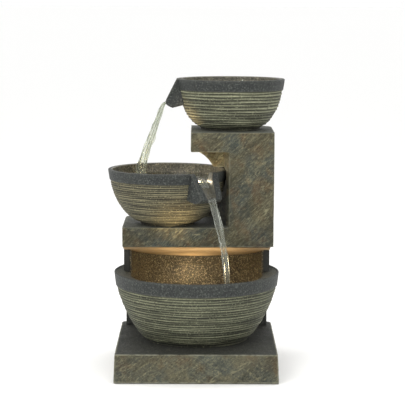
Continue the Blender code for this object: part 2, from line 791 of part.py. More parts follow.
def make_column():
    shell = add("column_shell", front_prism(column_outline(), COLUMN_FRONT, COVER_FRONT - GAP), "slate")
    rounding = add("column plan", upright_block(column_plan(0, REAR_CORNER), 0, 2 * FAR))
    bracket = add("arch bracket", front_prism(bracket_outline(), BRACKET_FRONT, COVER_FRONT - GAP))
    inner_wall = NOTCH_X - REVEAL
    thicker = add(
        "notch lining",
        box(
            (inner_wall, COLUMN_FRONT + REVEAL_DEPTH, SHELF_TOP - BITE),
            (NOTCH_X + 2 * BITE, COVER_FRONT - GAP, TOP_SLAB_BOTTOM + BITE),
        ),
    )
    reveal = add(
        "notch reveal",
        loft(
            [
                [
                    (inner_wall + BITE / 2, COLUMN_FRONT + REVEAL_DEPTH, z),
                    (NOTCH_X + 2 * BITE, COLUMN_FRONT + REVEAL_DEPTH, z),
                    (NOTCH_X + 2 * BITE, COLUMN_FRONT, z),
                    (NOTCH_X - BITE / 2, COLUMN_FRONT + BITE / 2, z),
                ]
                for z in (SHELF_TOP - BITE, TOP_SLAB_BOTTOM + BITE)
            ]
        ),
    )
    bowl_room = add(
        "middle bowl room",
        rod(MIDDLE_RIM + ROOM_CLEAR, SHELF_TOP, MIDDLE_TOP + ROOM_CLEAR, MIDDLE_CENTRE, BOWL_SIDES),
    )
    inset_plan = column_plan(WALL, REAR_CORNER - WALL)
    cavity = add("column cavity", upright_block(inset_plan, SHELF_BOTTOM + WALL, COLUMN_TOP - WALL))
    keep = add(
        "cavity outline",
        front_prism(
            [
                (COLUMN_LEFT + WALL, SHELF_BOTTOM + WALL),
                (COLUMN_RIGHT - WALL, SHELF_BOTTOM + WALL),
                (COLUMN_RIGHT - WALL, COLUMN_TOP - WALL),
                (TOP_LEFT + WALL, COLUMN_TOP - WALL),
                (TOP_LEFT + WALL, TOP_SLAB_BOTTOM + WALL),
                (NOTCH_X + WALL, TOP_SLAB_BOTTOM + WALL),
                (NOTCH_X + WALL, SHELF_TOP - WALL),
                (COLUMN_LEFT + WALL, SHELF_TOP - WALL),
            ],
            COLUMN_FRONT,
            COLUMN_BACK,
        ),
    )
    combine(cavity, "INTERSECT", keep)
    back_way = add(
        "back opening",
        front_prism(
            [
                (COLUMN_LEFT + REAR_CORNER, SHELF_BOTTOM + WALL + BITE),
                (COLUMN_RIGHT - REAR_CORNER, SHELF_BOTTOM + WALL + BITE),
                (COLUMN_RIGHT - REAR_CORNER, COLUMN_TOP - WALL - BITE),
                (TOP_LEFT + WALL + BITE, COLUMN_TOP - WALL - BITE),
                (TOP_LEFT + WALL + BITE, TOP_SLAB_BOTTOM + WALL + BITE),
                (NOTCH_X + WALL + BITE, TOP_SLAB_BOTTOM + WALL + BITE),
                (NOTCH_X + WALL + BITE, SHELF_TOP - WALL - BITE),
                (COLUMN_LEFT + REAR_CORNER, SHELF_TOP - WALL - BITE),
            ],
            COVER_FRONT - PAST,
            COLUMN_BACK + PAST,
        ),
    )
    blocks, pilots = [], []
    for i, (x, z) in enumerate(cover_screw_places()):
        left, low, high = x - BOSS, z - BOSS, z + BOSS
        if z < SHELF_TOP:  # stands on the shelf's floor
            low = SHELF_BOTTOM + WALL - BITE
        elif z > TOP_SLAB_BOTTOM:  # hangs from the top
            high = COLUMN_TOP - WALL + BITE
        else:  # on the column's left wall
            left = NOTCH_X + WALL - BITE
        blocks.append(((left, COVER_FRONT - COVER_BLOCK_DEPTH, low), (x + BOSS, COVER_FRONT - GAP, high)))
        pilots.append(
            add(
                f"cover pilot {i}",
                rod(
                    SCREW_RADIUS + GAP,
                    -SCREW_LENGTH - 0.002,
                    PAST,
                    sides=12,
                    upright=towards((x, COVER_FRONT, z), (0, 1, 0)),
                ),
            )
        )
    combine(shell, "UNION", thicker, reveal, bracket)
    combine(shell, "DIFFERENCE", bowl_room)
    combine(shell, "INTERSECT", rounding)
    combine(shell, "DIFFERENCE", cavity, back_way)
    combine(shell, "UNION", add("cover blocks", boxes(blocks)))
    combine(shell, "DIFFERENCE", *pilots)

    through_shelf = (SHELF_TOP - WALL - PAST, SHELF_TOP + PAST)
    through_top = (COLUMN_TOP - WALL - PAST, COLUMN_TOP + PAST)
    ports = {
        "riser port": box(
            (SHAFT_LEFT, SHAFT_FRONT, SHELF_BOTTOM - PAST),
            (SHAFT_RIGHT - 0.004, COVER_FRONT - 0.003, SHELF_BOTTOM + WALL + BITE),
        ),
        "bolt port": rod(BOLT_RADIUS + BOLT_CLEAR, *through_shelf, MIDDLE_CENTRE, 12),
        "lamp port": rod(LAMP_SEAL_RADIUS + GAP, *through_shelf, MIDDLE_LAMP, 12),
        "outlet port": rod(STEM_RADIUS + PORT_CLEAR, *through_top, (OUTLET_X, OUTLET_Y)),
    }
    combine(shell, "DIFFERENCE", *[add(name, bm) for name, bm in ports.items()])

    cover = add("back_cover", front_prism(column_outline(), COVER_FRONT, COLUMN_BACK), "slate")
    cover_plan = add("cover plan", upright_block(column_plan(0, REAR_CORNER), 0, 2 * FAR))
    combine(cover, "INTERSECT", cover_plan)
    for i, (x, z) in enumerate(cover_screw_places()):
        point = (x, COLUMN_BACK, z)
        hole = rod(SCREW_RADIUS + GAP, -2 * PAST, PAST, sides=12, upright=towards(point, (0, 1, 0)))
        combine(cover, "DIFFERENCE", add(f"cover hole {i}", hole))
        screw(f"cover_screw_{i + 1}", point, (0, 1, 0))


def cover_screw_places():
    """(x, z) of each back cover screw."""
    shelf_z = SHELF_BOTTOM + SLAB_THICK / 2
    top_z = TOP_SLAB_BOTTOM + SLAB_THICK / 2
    column_x = NOTCH_X + WALL + 0.007
    return [
        (COLUMN_LEFT + 0.037, shelf_z),
        (-0.015, shelf_z),
        (column_x + 0.001, shelf_z),
        (column_x, (SHELF_TOP + TOP_SLAB_BOTTOM) / 2),
        (TOP_LEFT + 0.020, top_z),
        (column_x + 0.012, top_z),
    ]


# ---------------------------------------------------------------- water circuit


def make_elbow(name, corner, arms):
    """A hose elbow: each arm is (direction, length of its tube, length of its hose tail)."""
    elbow = None
    bores = []
    for i, (direction, tube, tail) in enumerate(arms):
        profile = [(0, 0), (ELBOW_TUBE, 0), (ELBOW_TUBE, tube)]
        if tail:
            profile += [(BARB, tube + 0.001), (BARB, tube + tail)]
        profile += [(0, tube + tail)]
        upright = towards(corner, direction)
        arm = turned(profile, sides=16, upright=upright)
        bore = rod(ELBOW_BORE + i * GAP / 3, -BITE, tube + tail + PAST, sides=12, upright=upright)
        bores.append(add(f"{name} bore {i}", bore))
        if elbow is None:
            elbow = add(name, arm, "grey_plastic")
        else:
            combine(elbow, "UNION", add(f"{name} arm {i}", arm))
    knuckle = ELBOW_TUBE + 0.0006
    ball = [(knuckle * math.sin(a), -knuckle * math.cos(a)) for a in (i * math.pi / 6 for i in range(7))]
    ball[0], ball[-1] = (0, -knuckle), (0, knuckle)
    knuckle_ball = turned(ball, sides=14, upright=Matrix.Translation(corner))
    combine(elbow, "UNION", add(f"{name} knuckle", knuckle_ball))
    combine(elbow, "DIFFERENCE", *bores)
    return elbow


def make_water_circuit(lower_bowl, middle_bowl, upper_bowl, housing):
    pump = Vector((PUMP_X, PUMP_Y, CROSSING_HEIGHT))
    riser = Vector((RISER_X, RISER_Y, CROSSING_HEIGHT))
    run = (riser - pump).length
    along = (riser - pump).normalized()
    start = towards(pump, along)
    wall_in = reach_of(pump, along, radius_at(basin_side(), CROSSING_HEIGHT))
    wall_out = reach_of(pump, along, radius_at(lower_bowl_outside(), CROSSING_HEIGHT))
    hole = add("wall hole", rod(ELBOW_TUBE + 0.0028, wall_in - 0.02, run, sides=16, upright=start))
    combine(lower_bowl, "DIFFERENCE", hole)
    combine(housing, "DIFFERENCE", hole)
    seal_inner, seal_outer = ELBOW_TUBE + GAP, ELBOW_TUBE + 0.0023
    seal = ring(seal_inner, seal_outer, wall_in + 0.004, wall_out - 0.004, sides=16, upright=start)
    add("wall_grommet", seal, "rubber")

    tail, clear = 0.011, 0.001 + GAP
    pump_tube, wall_tube = 0.010, run - wall_in + 0.008
    make_elbow("pump_outlet", pump, [((0, 0, -1), ELBOW_RISE + 0.005, 0), (along, pump_tube, tail)])
    make_elbow("wall_elbow", riser, [(-along, wall_tube, tail), ((0, 0, 1), pump_tube, tail)])
    short = ring(HOSE_BORE, HOSE_RADIUS, pump_tube + clear, run - wall_tube - clear, sides=12, upright=start)
    add("pump_hose", short, "clear_vinyl")

    top = COLUMN_TOP - WALL - 0.020
    rise_start = CROSSING_HEIGHT + pump_tube + clear
    route = [
        (RISER_X, RISER_Y, rise_start),
        (RISER_X, RISER_Y, rise_start + 0.020),
        (RISER_X, RISER_Y, SHELF_BOTTOM),
        (RISER_X, RISER_Y - 0.006, SHELF_TOP),
        ((RISER_X + OUTLET_X) / 2, (RISER_Y + OUTLET_Y) / 2, (SHELF_TOP + top) / 2),
        (OUTLET_X, OUTLET_Y + 0.005, top - 0.060),
        (OUTLET_X, OUTLET_Y, top - 0.034),
        (OUTLET_X, OUTLET_Y, top - tail - 0.006),
        (OUTLET_X, OUTLET_Y, top),
    ]
    add("riser_hose", hose(route, 30), "clear_vinyl")

    outlet = (OUTLET_X, OUTLET_Y)
    floor = UPPER_BASE + BOWL_WALL
    fitting = [
        (0.0032, top - tail),
        (BARB, top - tail),
        (BARB, top + 0.001),
        (STEM_RADIUS, top + 0.002),
        (STEM_RADIUS, floor + 0.0030 + GAP),
        (0.0130, floor + 0.0030 + GAP),
        (0.0130, floor + 0.0065),
        (STEM_RADIUS, floor + 0.0075),
        (0.0070, floor + 0.0240),
        (0.0032, floor + 0.0240),
    ]
    add("outlet_fitting", turned(fitting, outlet), "black_plastic")
    add("outlet_seal", ring(STEM_RADIUS + GAP, 0.0135, floor + GAP, floor + 0.0030, outlet), "rubber")
    nut_height = 0.0070
    nut_base = (*outlet, COLUMN_TOP - WALL - nut_height - GAP)
    nut("outlet_nut", STEM_RADIUS + GAP, 0.0165, nut_height, nut_base, "black_plastic")
    cap_low = floor + 0.0160
    cap = [
        (STEM_RADIUS + GAP, cap_low),
        (0.0110, cap_low),
        (0.0110, cap_low + 0.0090),
        (0.0075, cap_low + 0.0125),
        (0.0045, cap_low + 0.0125),
        (0.0045, cap_low + 0.0100),
        (STEM_RADIUS + GAP, cap_low + 0.0088),
    ]
    add("bubbler_cap", turned(cap, outlet), "black_plastic")
    hole = rod(STEM_RADIUS + STEM_CLEAR, UPPER_BASE - PAST, floor + PAST, outlet)
    combine(upper_bowl, "DIFFERENCE", add("outlet hole", hole))

    bolt_z = MIDDLE_BASE + BOWL_WALL
    bolt = [
        (0, SHELF_TOP - WALL - 0.016),
        (BOLT_RADIUS, SHELF_TOP - WALL - 0.016),
        (BOLT_RADIUS, bolt_z + GAP),
        (BOLT_HEAD, bolt_z + GAP),
        (BOLT_HEAD, bolt_z + 0.0030),
        (0, bolt_z + 0.0045),
    ]
    add("bowl_bolt", turned(bolt, MIDDLE_CENTRE, 12), "steel")
    low = SHELF_TOP - WALL
    washer = ring(BOLT_RADIUS + RUN, 0.0090, low - WASHER_THICK, low - GAP, MIDDLE_CENTRE, 16)
    add("bowl_washer", washer, "steel")
    nut_base = (*MIDDLE_CENTRE, low - WASHER_THICK - 0.0054)
    nut("bowl_nut", BOLT_RADIUS + GAP, 0.0060, 0.0050, nut_base, "steel")
    hole = rod(BOLT_RADIUS + BOLT_CLEAR, MIDDLE_BASE - PAST, bolt_z + PAST, MIDDLE_CENTRE, 12)
    combine(middle_bowl, "DIFFERENCE", add("bolt hole", hole))


# ---------------------------------------------------------------- pump


def make_pump():
    left, right = PUMP_X - PUMP_WIDTH / 2, PUMP_X + PUMP_WIDTH / 2
    front, back = PUMP_Y - PUMP_DEPTH / 2, PUMP_Y + PUMP_DEPTH / 2
    axis_z = PUMP_BASE + PUMP_HEIGHT / 2
    axis = towards((PUMP_X, front, axis_z), (0, 1, 0))
    body = add("pump_body", box((left, front, PUMP_BASE), (right, back, PUMP_TOP)), "black_plastic")
    edge = body.modifiers.new("soft edges", "BEVEL")
    edge.width = 0.003
    edge.segments = 2
    rotor_end = CHAMBER_DEPTH + ROTOR_LENGTH + BORE_CLEAR
    bores = [
        rod(CHAMBER_RADIUS + BORE_CLEAR, -0.01, CHAMBER_DEPTH, sides=24, upright=axis),
        rod(ROTOR_RADIUS + BORE_CLEAR, -0.01, rotor_end, sides=20, upright=axis),
        rod(SHAFT_RADIUS + GAP / 2, -0.01, rotor_end + 0.003, sides=12, upright=axis),
        rod(0.0040, axis_z, PUMP_TOP + 0.01, (PUMP_X, front + CHAMBER_DEPTH / 2), 12),
        rod(ELBOW_TUBE + 2 * GAP, PUMP_TOP - 0.006, PUMP_TOP + 0.01, (PUMP_X, PUMP_Y), 16),
        box((PUMP_X - 0.003, front + 0.004, PUMP_TOP - 0.006), (PUMP_X + 0.003, PUMP_Y, PUMP_TOP - 0.0015)),
    ]
    combine(body, "DIFFERENCE", *[add(f"pump bore {i}", bm) for i, bm in enumerate(bores)])
    plug = rod(0.0046, PUMP_TOP - 0.0015, PUMP_TOP + 0.0002, (PUMP_X, front + CHAMBER_DEPTH / 2), 12)
    combine(body, "UNION", add("drilling plug", plug))

    add(
        "impeller_shaft",
        rod(SHAFT_RADIUS, -VOLUTE_THICK + GAP, rotor_end + 0.0025, sides=12, upright=axis),
        "ceramic",
    )
    hub = 0.0026
    disc = CHAMBER_RADIUS - 0.001
    impeller_profile = [
        (SHAFT_RADIUS + RUN / 2, 0.0015),
        (hub, 0.0015),
        (hub, 0.0060),
        (disc, 0.0060),
        (disc, 0.0075),
        (ROTOR_RADIUS, 0.0075),
        (ROTOR_RADIUS, CHAMBER_DEPTH + ROTOR_LENGTH),
        (SHAFT_RADIUS + RUN / 2, CHAMBER_DEPTH + ROTOR_LENGTH),
    ]
    axis_point = (PUMP_X, front + CHAMBER_DEPTH, axis_z)
    impeller = add("impeller", turned(impeller_profile, sides=20, upright=axis), "magnet", axis_point)
    blades = []
    for i in range(6):
        turn = Matrix.Rotation(i * math.pi / 3, 4, "Z")
        blade = box((hub * 0.8, -0.0006, 0.0018), (disc - 0.0004, 0.0006, 0.0064))
        bmesh.ops.transform(blade, matrix=axis @ turn, verts=blade.verts)
        blades.append(add(f"blade {i}", blade))
    combine(impeller, "UNION", *blades)

    plate_back = front - GAP
    plate_front = plate_back - VOLUTE_THICK
    volute = add(
        "volute_plate",
        box((left, plate_front, PUMP_BASE), (right, plate_back, PUMP_TOP)),
        "grey_plastic",
    )
    inlet = ring(0.0030, 0.0062, -0.01, 0.01, sides=16, upright=axis)
    seat = rod(SHAFT_RADIUS + GAP / 2, -0.01, 0.01, sides=12, upright=axis)
    spokes = boxes(
        [
            ((PUMP_X - 0.0008, plate_front + GAP, low), (PUMP_X + 0.0008, plate_back - GAP, low + 0.0040))
            for low in (axis_z - 0.0066, axis_z + 0.0026)
        ]
    )
    combine(volute, "DIFFERENCE", add("volute inlet", inlet))
    combine(volute, "UNION", add("volute spokes", spokes))
    combine(volute, "DIFFERENCE", add("shaft seat", seat))

    cover_back = plate_front - GAP
    cover_front = cover_back - COVER_DEPTH
    cover = add(
        "pump_cover",
        box((left, cover_front, PUMP_BASE), (right, cover_back, PUMP_TOP)),
        "black_plastic",
        (PUMP_X, cover_back, axis_z),
    )
    room = box(
        (left + COVER_WALL, cover_front + COVER_WALL, PUMP_BASE + COVER_WALL),
        (right - COVER_WALL, cover_back + 0.01, PUMP_TOP - COVER_WALL),
    )
    slot_half, slots = 0.0012, 5
    slot_end = cover_front + COVER_WALL + BITE
    slot_z = [PUMP_BASE + 0.0055 + i * 0.0056 for i in range(slots)]
    slot_boxes = boxes(
        [
            ((left + 0.004, cover_front - PAST, z - slot_half), (PUMP_X - 0.0035, slot_end, z + slot_half))
            for z in slot_z
        ]
    )
    gate_x = PUMP_X + 0.0015
    gate_low, gate_high = axis_z - GATE_HEIGHT / 2, axis_z + GATE_HEIGHT / 2
    water_way = box(
        (gate_x + 0.0005, cover_front - PAST, axis_z - 0.004),
        (gate_x + 0.0075, slot_end, axis_z + 0.004),
    )
    rail_reach = 0.0026
    rails = boxes(
        [
            (
                (PUMP_X - 0.0005, cover_front - rail_reach, z0),
                (right - 0.001, cover_front + 0.0005, z1),
            )
            for z0, z1 in (
                (gate_low - RUN - 0.0014, gate_low - RUN),
                (gate_high + RUN, gate_high + RUN + 0.0014),
            )
        ]
    )
    cuts = {"cover room": room, "cover slots": slot_boxes, "gate way": water_way}
    combine(cover, "DIFFERENCE", *[add(name, bm) for name, bm in cuts.items()])
    combine(cover, "UNION", add("gate rails", rails))
    gate_start = gate_x + 0.0045
    gate_width = GATE_WIDTH - 0.0045
    gate = add(
        "flow_gate",
        box(
            (gate_start, cover_front - RUN - GATE_THICK, gate_low),
            (gate_start + gate_width, cover_front - RUN, gate_high),
        ),
        "grey_plastic",
        (gate_start, cover_front, axis_z),
    )
    nub = box(
        (gate_start + 0.002, cover_front - RUN - GATE_THICK - 0.0018, axis_z - 0.004),
        (gate_start + 0.004, cover_front - RUN - 0.0005, axis_z + 0.004),
    )
    combine(gate, "UNION", add("gate nub", nub))
    sponge_gap = COVER_WALL + GAP
    sponge = add(
        "filter_sponge",
        box(
            (left + sponge_gap, cover_front + sponge_gap, PUMP_BASE + sponge_gap),
            (right - sponge_gap, cover_back - 0.001, PUMP_TOP - sponge_gap),
        ),
        "foam",
    )
    sponge_hole = rod(0.0045, -0.02, 0.0, sides=12, upright=towards((PUMP_X, front, axis_z), (0, 1, 0)))
    combine(sponge, "DIFFERENCE", add("sponge hole", sponge_hole))
    cup_places = [(x, y) for x in (left + 0.007, right - 0.007) for y in (front + 0.006, back - 0.006)]
    for i, (x, y) in enumerate(cup_places):
        cup = [
            (0, BASIN_FLOOR_Z + 0.0014),
            (0.0050, BASIN_FLOOR_Z + GAP),
            (0.0060, BASIN_FLOOR_Z + GAP),
            (0.0030, BASIN_FLOOR_Z + 0.0026),
            (0.0022, BASIN_FLOOR_Z + 0.0034),
            (0.0022, PUMP_BASE - GAP),
            (0, PUMP_BASE - GAP),
        ]
        add(f"suction_cup_{i + 1}", turned(cup, (x, y), 12), "rubber")


# ---------------------------------------------------------------- lamps and leads


def make_lamp(name, centre, base):
    """An underwater puck lamp: body, board and lens."""
    wall = 0.0020
    body = [
        (0, base),
        (LAMP_RADIUS - 0.001, base),
        (LAMP_RADIUS, base + 0.001),
        (LAMP_RADIUS, base + LAMP_HEIGHT),
        (LAMP_RADIUS - wall, base + LAMP_HEIGHT),
        (LAMP_RADIUS - wall, base + 0.0090),
        (LAMP_RADIUS - 2 * wall, base + 0.0090),
        (LAMP_RADIUS - 2 * wall, base + 0.0030),
        (0, base + 0.0030),
    ]
    add(f"{name}_body", turned(body, centre, 24), "black_plastic")
    board_low = base + 0.0030 + GAP
    chip = 0.0035
    board = [
        (0, board_low),
        (LAMP_RADIUS - 2 * wall - GAP, board_low),
        (LAMP_RADIUS - 2 * wall - GAP, board_low + 0.0016),
        (chip, board_low + 0.0016),
        (chip * 0.8, board_low + 0.0030),
        (0, board_low + 0.0036),
    ]
    add(f"{name}_board", turned(board, centre, 16), "led_board")
    lens_low = base + 0.0090 + GAP
    lens = [
        (0, lens_low),
        (LAMP_RADIUS - wall - GAP, lens_low),
        (LAMP_RADIUS - wall - GAP, base + LAMP_HEIGHT - 0.0015),
        ((LAMP_RADIUS - wall) * 0.6, base + LAMP_HEIGHT + 0.0008),
        (0, base + LAMP_HEIGHT + 0.0016),
    ]
    add(f"{name}_lens", turned(lens, centre, 24), "clear_lens")


def make_leads(lower_bowl, middle_bowl, housing):
    """The three leads inside the fountain, from the pump and the lamps to the gland at the back."""
    out = Vector((math.cos(LEAD_HOLE_ANGLE), math.sin(LEAD_HOLE_ANGLE), 0))
    across = Vector((-out.y, out.x, 0)) * 0.0031
    axis = towards((0, 0, LEAD_HOLE_Z), out)
    wall_in = radius_at(basin_side(), LEAD_HOLE_Z)
    wall_out = radius_at(lower_bowl_outside(), LEAD_HOLE_Z)
    hole = add("lead hole", rod(0.0080, wall_in - 0.010, wall_out + 0.014, sides=16, upright=axis))
    combine(lower_bowl, "DIFFERENCE", hole)
    housing_way = rod(0.0115, wall_out - 0.020, wall_out + 0.020, sides=16, upright=axis)
    combine(housing, "DIFFERENCE", add("lead way", housing_way))
    plug = rod(0.0076, wall_in + 0.003, wall_out - 0.003, sides=16, upright=axis)
    grommet = add("lead_grommet", plug, "rubber")
    for i, shift in enumerate((across, -across)):
        beside = Matrix.Translation(shift) @ axis
        bore = rod(LEAD_RADIUS + LEAD_CLEAR + 0.0001, 0, FAR, sides=12, upright=beside)
        combine(grommet, "DIFFERENCE", add(f"grommet bore {i}", bore))

    gland_in = COVER_FRONT - GLAND_INSIDE - 0.0016

    def through_wall(shift):
        """Points straight through the grommet."""
        stops = (wall_in - 0.012, wall_in - 0.002, (wall_in + wall_out) / 2, wall_out, wall_out + 0.009)
        return [out * stop + shift + Vector((0, 0, LEAD_HOLE_Z)) for stop in stops]

    def to_gland(x, z):
        """Points into the gland's inner face, beside the other leads."""
        return [
            (x - 0.0090, gland_in - 0.0130, z + 0.0100),
            (x - 0.0020, gland_in - 0.0060, z + 0.0025),
            (x, gland_in, z),
        ]

    pump_back = PUMP_Y + PUMP_DEPTH / 2
    lead_z = PUMP_BASE + 0.012
    lead(
        "pump_lead",
        [
            (PUMP_X + 0.012, pump_back + 2 * GAP, lead_z),
            (PUMP_X + 0.012, pump_back + 0.010, lead_z),
            (PUMP_X + 0.014, pump_back + 0.024, LEAD_HOLE_Z - 0.001),
            *through_wall(-across),
            *to_gland(GLAND_X + 0.0028, GLAND_Z - 0.0020),
        ],
        30,
    )
    lamp_x, lamp_y = BASIN_LAMP
    lamp_edge = lamp_x + LAMP_RADIUS
    lead(
        "basin_lamp_lead",
        [
            (lamp_edge + 2 * GAP, lamp_y, BASIN_FLOOR_Z + 0.0045),
            (lamp_edge + 0.006, lamp_y, BASIN_FLOOR_Z + 0.0047),
            (lamp_edge + 0.018, lamp_y + 0.004, BASIN_FLOOR_Z + 0.0090),
            (lamp_edge + 0.028, lamp_y + 0.010, LEAD_HOLE_Z - 0.005),
            *through_wall(across),
            *to_gland(GLAND_X - 0.0028, GLAND_Z - 0.0020),
        ],
        32,
    )
    lamp_x, lamp_y = MIDDLE_LAMP
    lamp_floor = MIDDLE_BASE + BOWL_WALL
    shelf_in = SHELF_BOTTOM + WALL + LEAD_RADIUS + 0.0015
    shaft_x, shaft_y = SHAFT_RIGHT - 0.0130, SHAFT_FRONT + 0.0105
    lead(
        "middle_lamp_lead",
        [
            (lamp_x, lamp_y, MIDDLE_BASE + BOWL_WALL - GAP),
            (lamp_x, lamp_y, SHELF_TOP),
            (lamp_x, lamp_y, SHELF_TOP - WALL - 0.002),
            (lamp_x + 0.002, lamp_y + 0.002, SHELF_TOP - WALL - 0.012),
            (lamp_x + 0.014, lamp_y + 0.012, shelf_in + 0.001),
            (0.010, 0.040, shelf_in),
            (0.060, 0.080, shelf_in),
            (0.100, 0.118, shelf_in),
            (shaft_x - 0.012, shaft_y - 0.005, shelf_in - 0.001),
            (shaft_x - 0.002, shaft_y, SHELF_BOTTOM - 0.004),
            (shaft_x, shaft_y, SHELF_BOTTOM - 0.030),
            (shaft_x, shaft_y, CROSSING_HEIGHT + 0.010),
            (shaft_x - 0.005, shaft_y + 0.002, CROSSING_HEIGHT - 0.018),
            (GLAND_X + 0.014, gland_in - 0.007, GLAND_Z + 0.018),
            (GLAND_X + 0.004, gland_in - 0.004, GLAND_Z + 0.0065),
            (GLAND_X, gland_in, GLAND_Z + 0.0034),
        ],
        56,
    )
    seal = rod(LAMP_SEAL_RADIUS, SHELF_TOP - WALL - BITE, MIDDLE_BASE + BOWL_WALL - 0.0005, MIDDLE_LAMP, 16)
    seal = add("lamp_grommet", seal, "rubber")
    combine(seal, "DIFFERENCE", add("lamp lead way", rod(LEAD_RADIUS + LEAD_CLEAR, 0, FAR, MIDDLE_LAMP, 12)))
    combine(
        middle_bowl,
        "DIFFERENCE",
        add("lamp hole", rod(LAMP_SEAL_RADIUS + GAP, MIDDLE_BASE - PAST, lamp_floor + PAST, MIDDLE_LAMP, 16)),
    )

    inside = COVER_FRONT - GLAND_INSIDE
    gland = [
        (0, 0),
        (GLAND_RADIUS, 0),
        (GLAND_RADIUS, COLUMN_BACK + GAP - inside),
        (GLAND_RADIUS + 0.0030, COLUMN_BACK + GAP - inside),
        (GLAND_RADIUS + 0.0030, COLUMN_BACK + 0.0040 - inside),
        (GLAND_RADIUS - 0.0010, COLUMN_BACK + 0.0090 - inside),
        (0.0035, COLUMN_BACK + 0.0090 - inside),
        (0.0035, COLUMN_BACK + 0.0030 - inside),
        (0, COLUMN_BACK + 0.0030 - inside),
    ]
    add("cable_gland", turned(gland, upright=towards((GLAND_X, inside, GLAND_Z), (0, 1, 0))), "black_plastic")


def main():
    for old in list(bpy.data.objects):
        bpy.data.objects.remove(old)
    make_plinth()
    lower_bowl = make_lower_bowl()
    make_splash_back()
    housing = make_rear_housing()
    make_column()
    middle_bowl = spouted_bowl(
        "middle_bowl",
        MIDDLE_RIM,
        MIDDLE_FOOT,
        MIDDLE_HEIGHT,
        MIDDLE_BAND,
        MIDDLE_BASE,
        MIDDLE_CENTRE,
        MIDDLE_SPOUT_ANGLE,
    )
    upper_bowl = spouted_bowl(
        "upper_bowl",
        UPPER_RIM,
        UPPER_FOOT,
        UPPER_HEIGHT,
        UPPER_BAND,
        UPPER_BASE,
        UPPER_CENTRE,
        UPPER_SPOUT_ANGLE,
    )
    make_water_circuit(lower_bowl, middle_bowl, upper_bowl, housing)
    make_pump()
    make_lamp("basin_lamp", BASIN_LAMP, BASIN_FLOOR_Z + GAP)
    make_lamp("middle_lamp", MIDDLE_LAMP, MIDDLE_BASE + BOWL_WALL + GAP)
    make_leads(lower_bowl, middle_bowl, housing)


main()
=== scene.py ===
import json
from math import cos, pi, radians, sin

import bmesh
import bpy
import numpy as np
from mathutils import Matrix, Vector


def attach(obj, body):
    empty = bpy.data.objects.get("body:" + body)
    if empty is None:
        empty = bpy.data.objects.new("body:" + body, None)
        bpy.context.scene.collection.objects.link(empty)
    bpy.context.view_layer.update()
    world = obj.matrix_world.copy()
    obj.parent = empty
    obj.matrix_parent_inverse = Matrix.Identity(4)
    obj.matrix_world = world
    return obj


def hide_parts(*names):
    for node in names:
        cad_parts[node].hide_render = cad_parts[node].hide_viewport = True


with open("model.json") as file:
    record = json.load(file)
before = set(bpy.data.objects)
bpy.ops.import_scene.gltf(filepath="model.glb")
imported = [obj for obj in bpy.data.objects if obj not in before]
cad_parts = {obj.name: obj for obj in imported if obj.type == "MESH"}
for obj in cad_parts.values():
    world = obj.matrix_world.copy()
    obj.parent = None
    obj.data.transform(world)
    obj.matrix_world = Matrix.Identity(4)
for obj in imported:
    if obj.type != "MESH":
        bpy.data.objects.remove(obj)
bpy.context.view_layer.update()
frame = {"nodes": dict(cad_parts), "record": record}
nodes = frame["nodes"]
root = "fountain"
print("frame loaded:", len(nodes), "nodes")


# small helpers for shader trees
def feed(tree, socket, value):
    if isinstance(value, bpy.types.NodeSocket):
        tree.links.new(value, socket)
    else:
        socket.default_value = value


def give(tree, node, values):
    for key, value in values.items():
        feed(tree, node.inputs[key], value)


def put(tree, kind, values=None, **settings):
    node = tree.nodes.new(kind)
    for key, value in settings.items():
        setattr(node, key, value)
    give(tree, node, values or {})
    return node


def reckon(tree, operation, first, second=0.0):
    return put(tree, "ShaderNodeMath", {0: first, 1: second}, operation=operation).outputs[0]


def times(tree, first, second):
    return reckon(tree, "MULTIPLY", first, second)


def plus(tree, first, second):
    return reckon(tree, "ADD", first, second)


def between(tree, value, low, high, fromValue=0.0, toValue=1.0):
    return put(tree, "ShaderNodeMapRange", {0: value, 1: low, 2: high, 3: fromValue, 4: toValue}).outputs[0]


def tint(tree, factor, first, second):
    return put(tree, "ShaderNodeMix", {0: factor, 6: first, 7: second}, data_type="RGBA").outputs[2]


def stain(tree, mask, amount, base, other):
    return tint(tree, times(tree, mask, amount), base, other)


def noiseOf(tree, place, scale, detail=3.0, roughness=0.5, distortion=0.0):
    values = {"Vector": place, "Scale": scale, "Detail": detail}
    values.update(Roughness=roughness, Distortion=distortion)
    return put(tree, "ShaderNodeTexNoise", values).outputs[0]


def stretch(tree, place, scale):
    return put(tree, "ShaderNodeMapping", {"Vector": place, "Scale": scale}).outputs[0]


def turnAcross(tree, place, angle):
    turned = put(tree, "ShaderNodeVectorRotate", {"Vector": place, "Angle": angle}, rotation_type="Y_AXIS")
    return turned.outputs[0]


# linear colour of a paint chip given as 0 to 255
def paint(red, green, blue):
    chip = [c / 255 for c in (red, green, blue)]
    return (*[c / 12.92 if c < 0.04045 else ((c + 0.055) / 1.055) ** 2.4 for c in chip], 1.0)


# an effect for several materials: it takes a place and some plain numbers, and puts out masks and values
def shaderGroup(name, numbers, outputs):
    group = bpy.data.node_groups.new(name, "ShaderNodeTree")
    group.interface.new_socket("Vector", in_out="INPUT", socket_type="NodeSocketVector")
    for label, value in numbers.items():
        group.interface.new_socket(label, in_out="INPUT", socket_type="NodeSocketFloat").default_value = value
    for label in outputs:
        group.interface.new_socket(label, in_out="OUTPUT", socket_type="NodeSocketFloat")
    return group, group.nodes.new("NodeGroupInput").outputs, group.nodes.new("NodeGroupOutput").inputs


grainBlend, patchBlend = 0.08, 0.09  # how softly grains and patches end


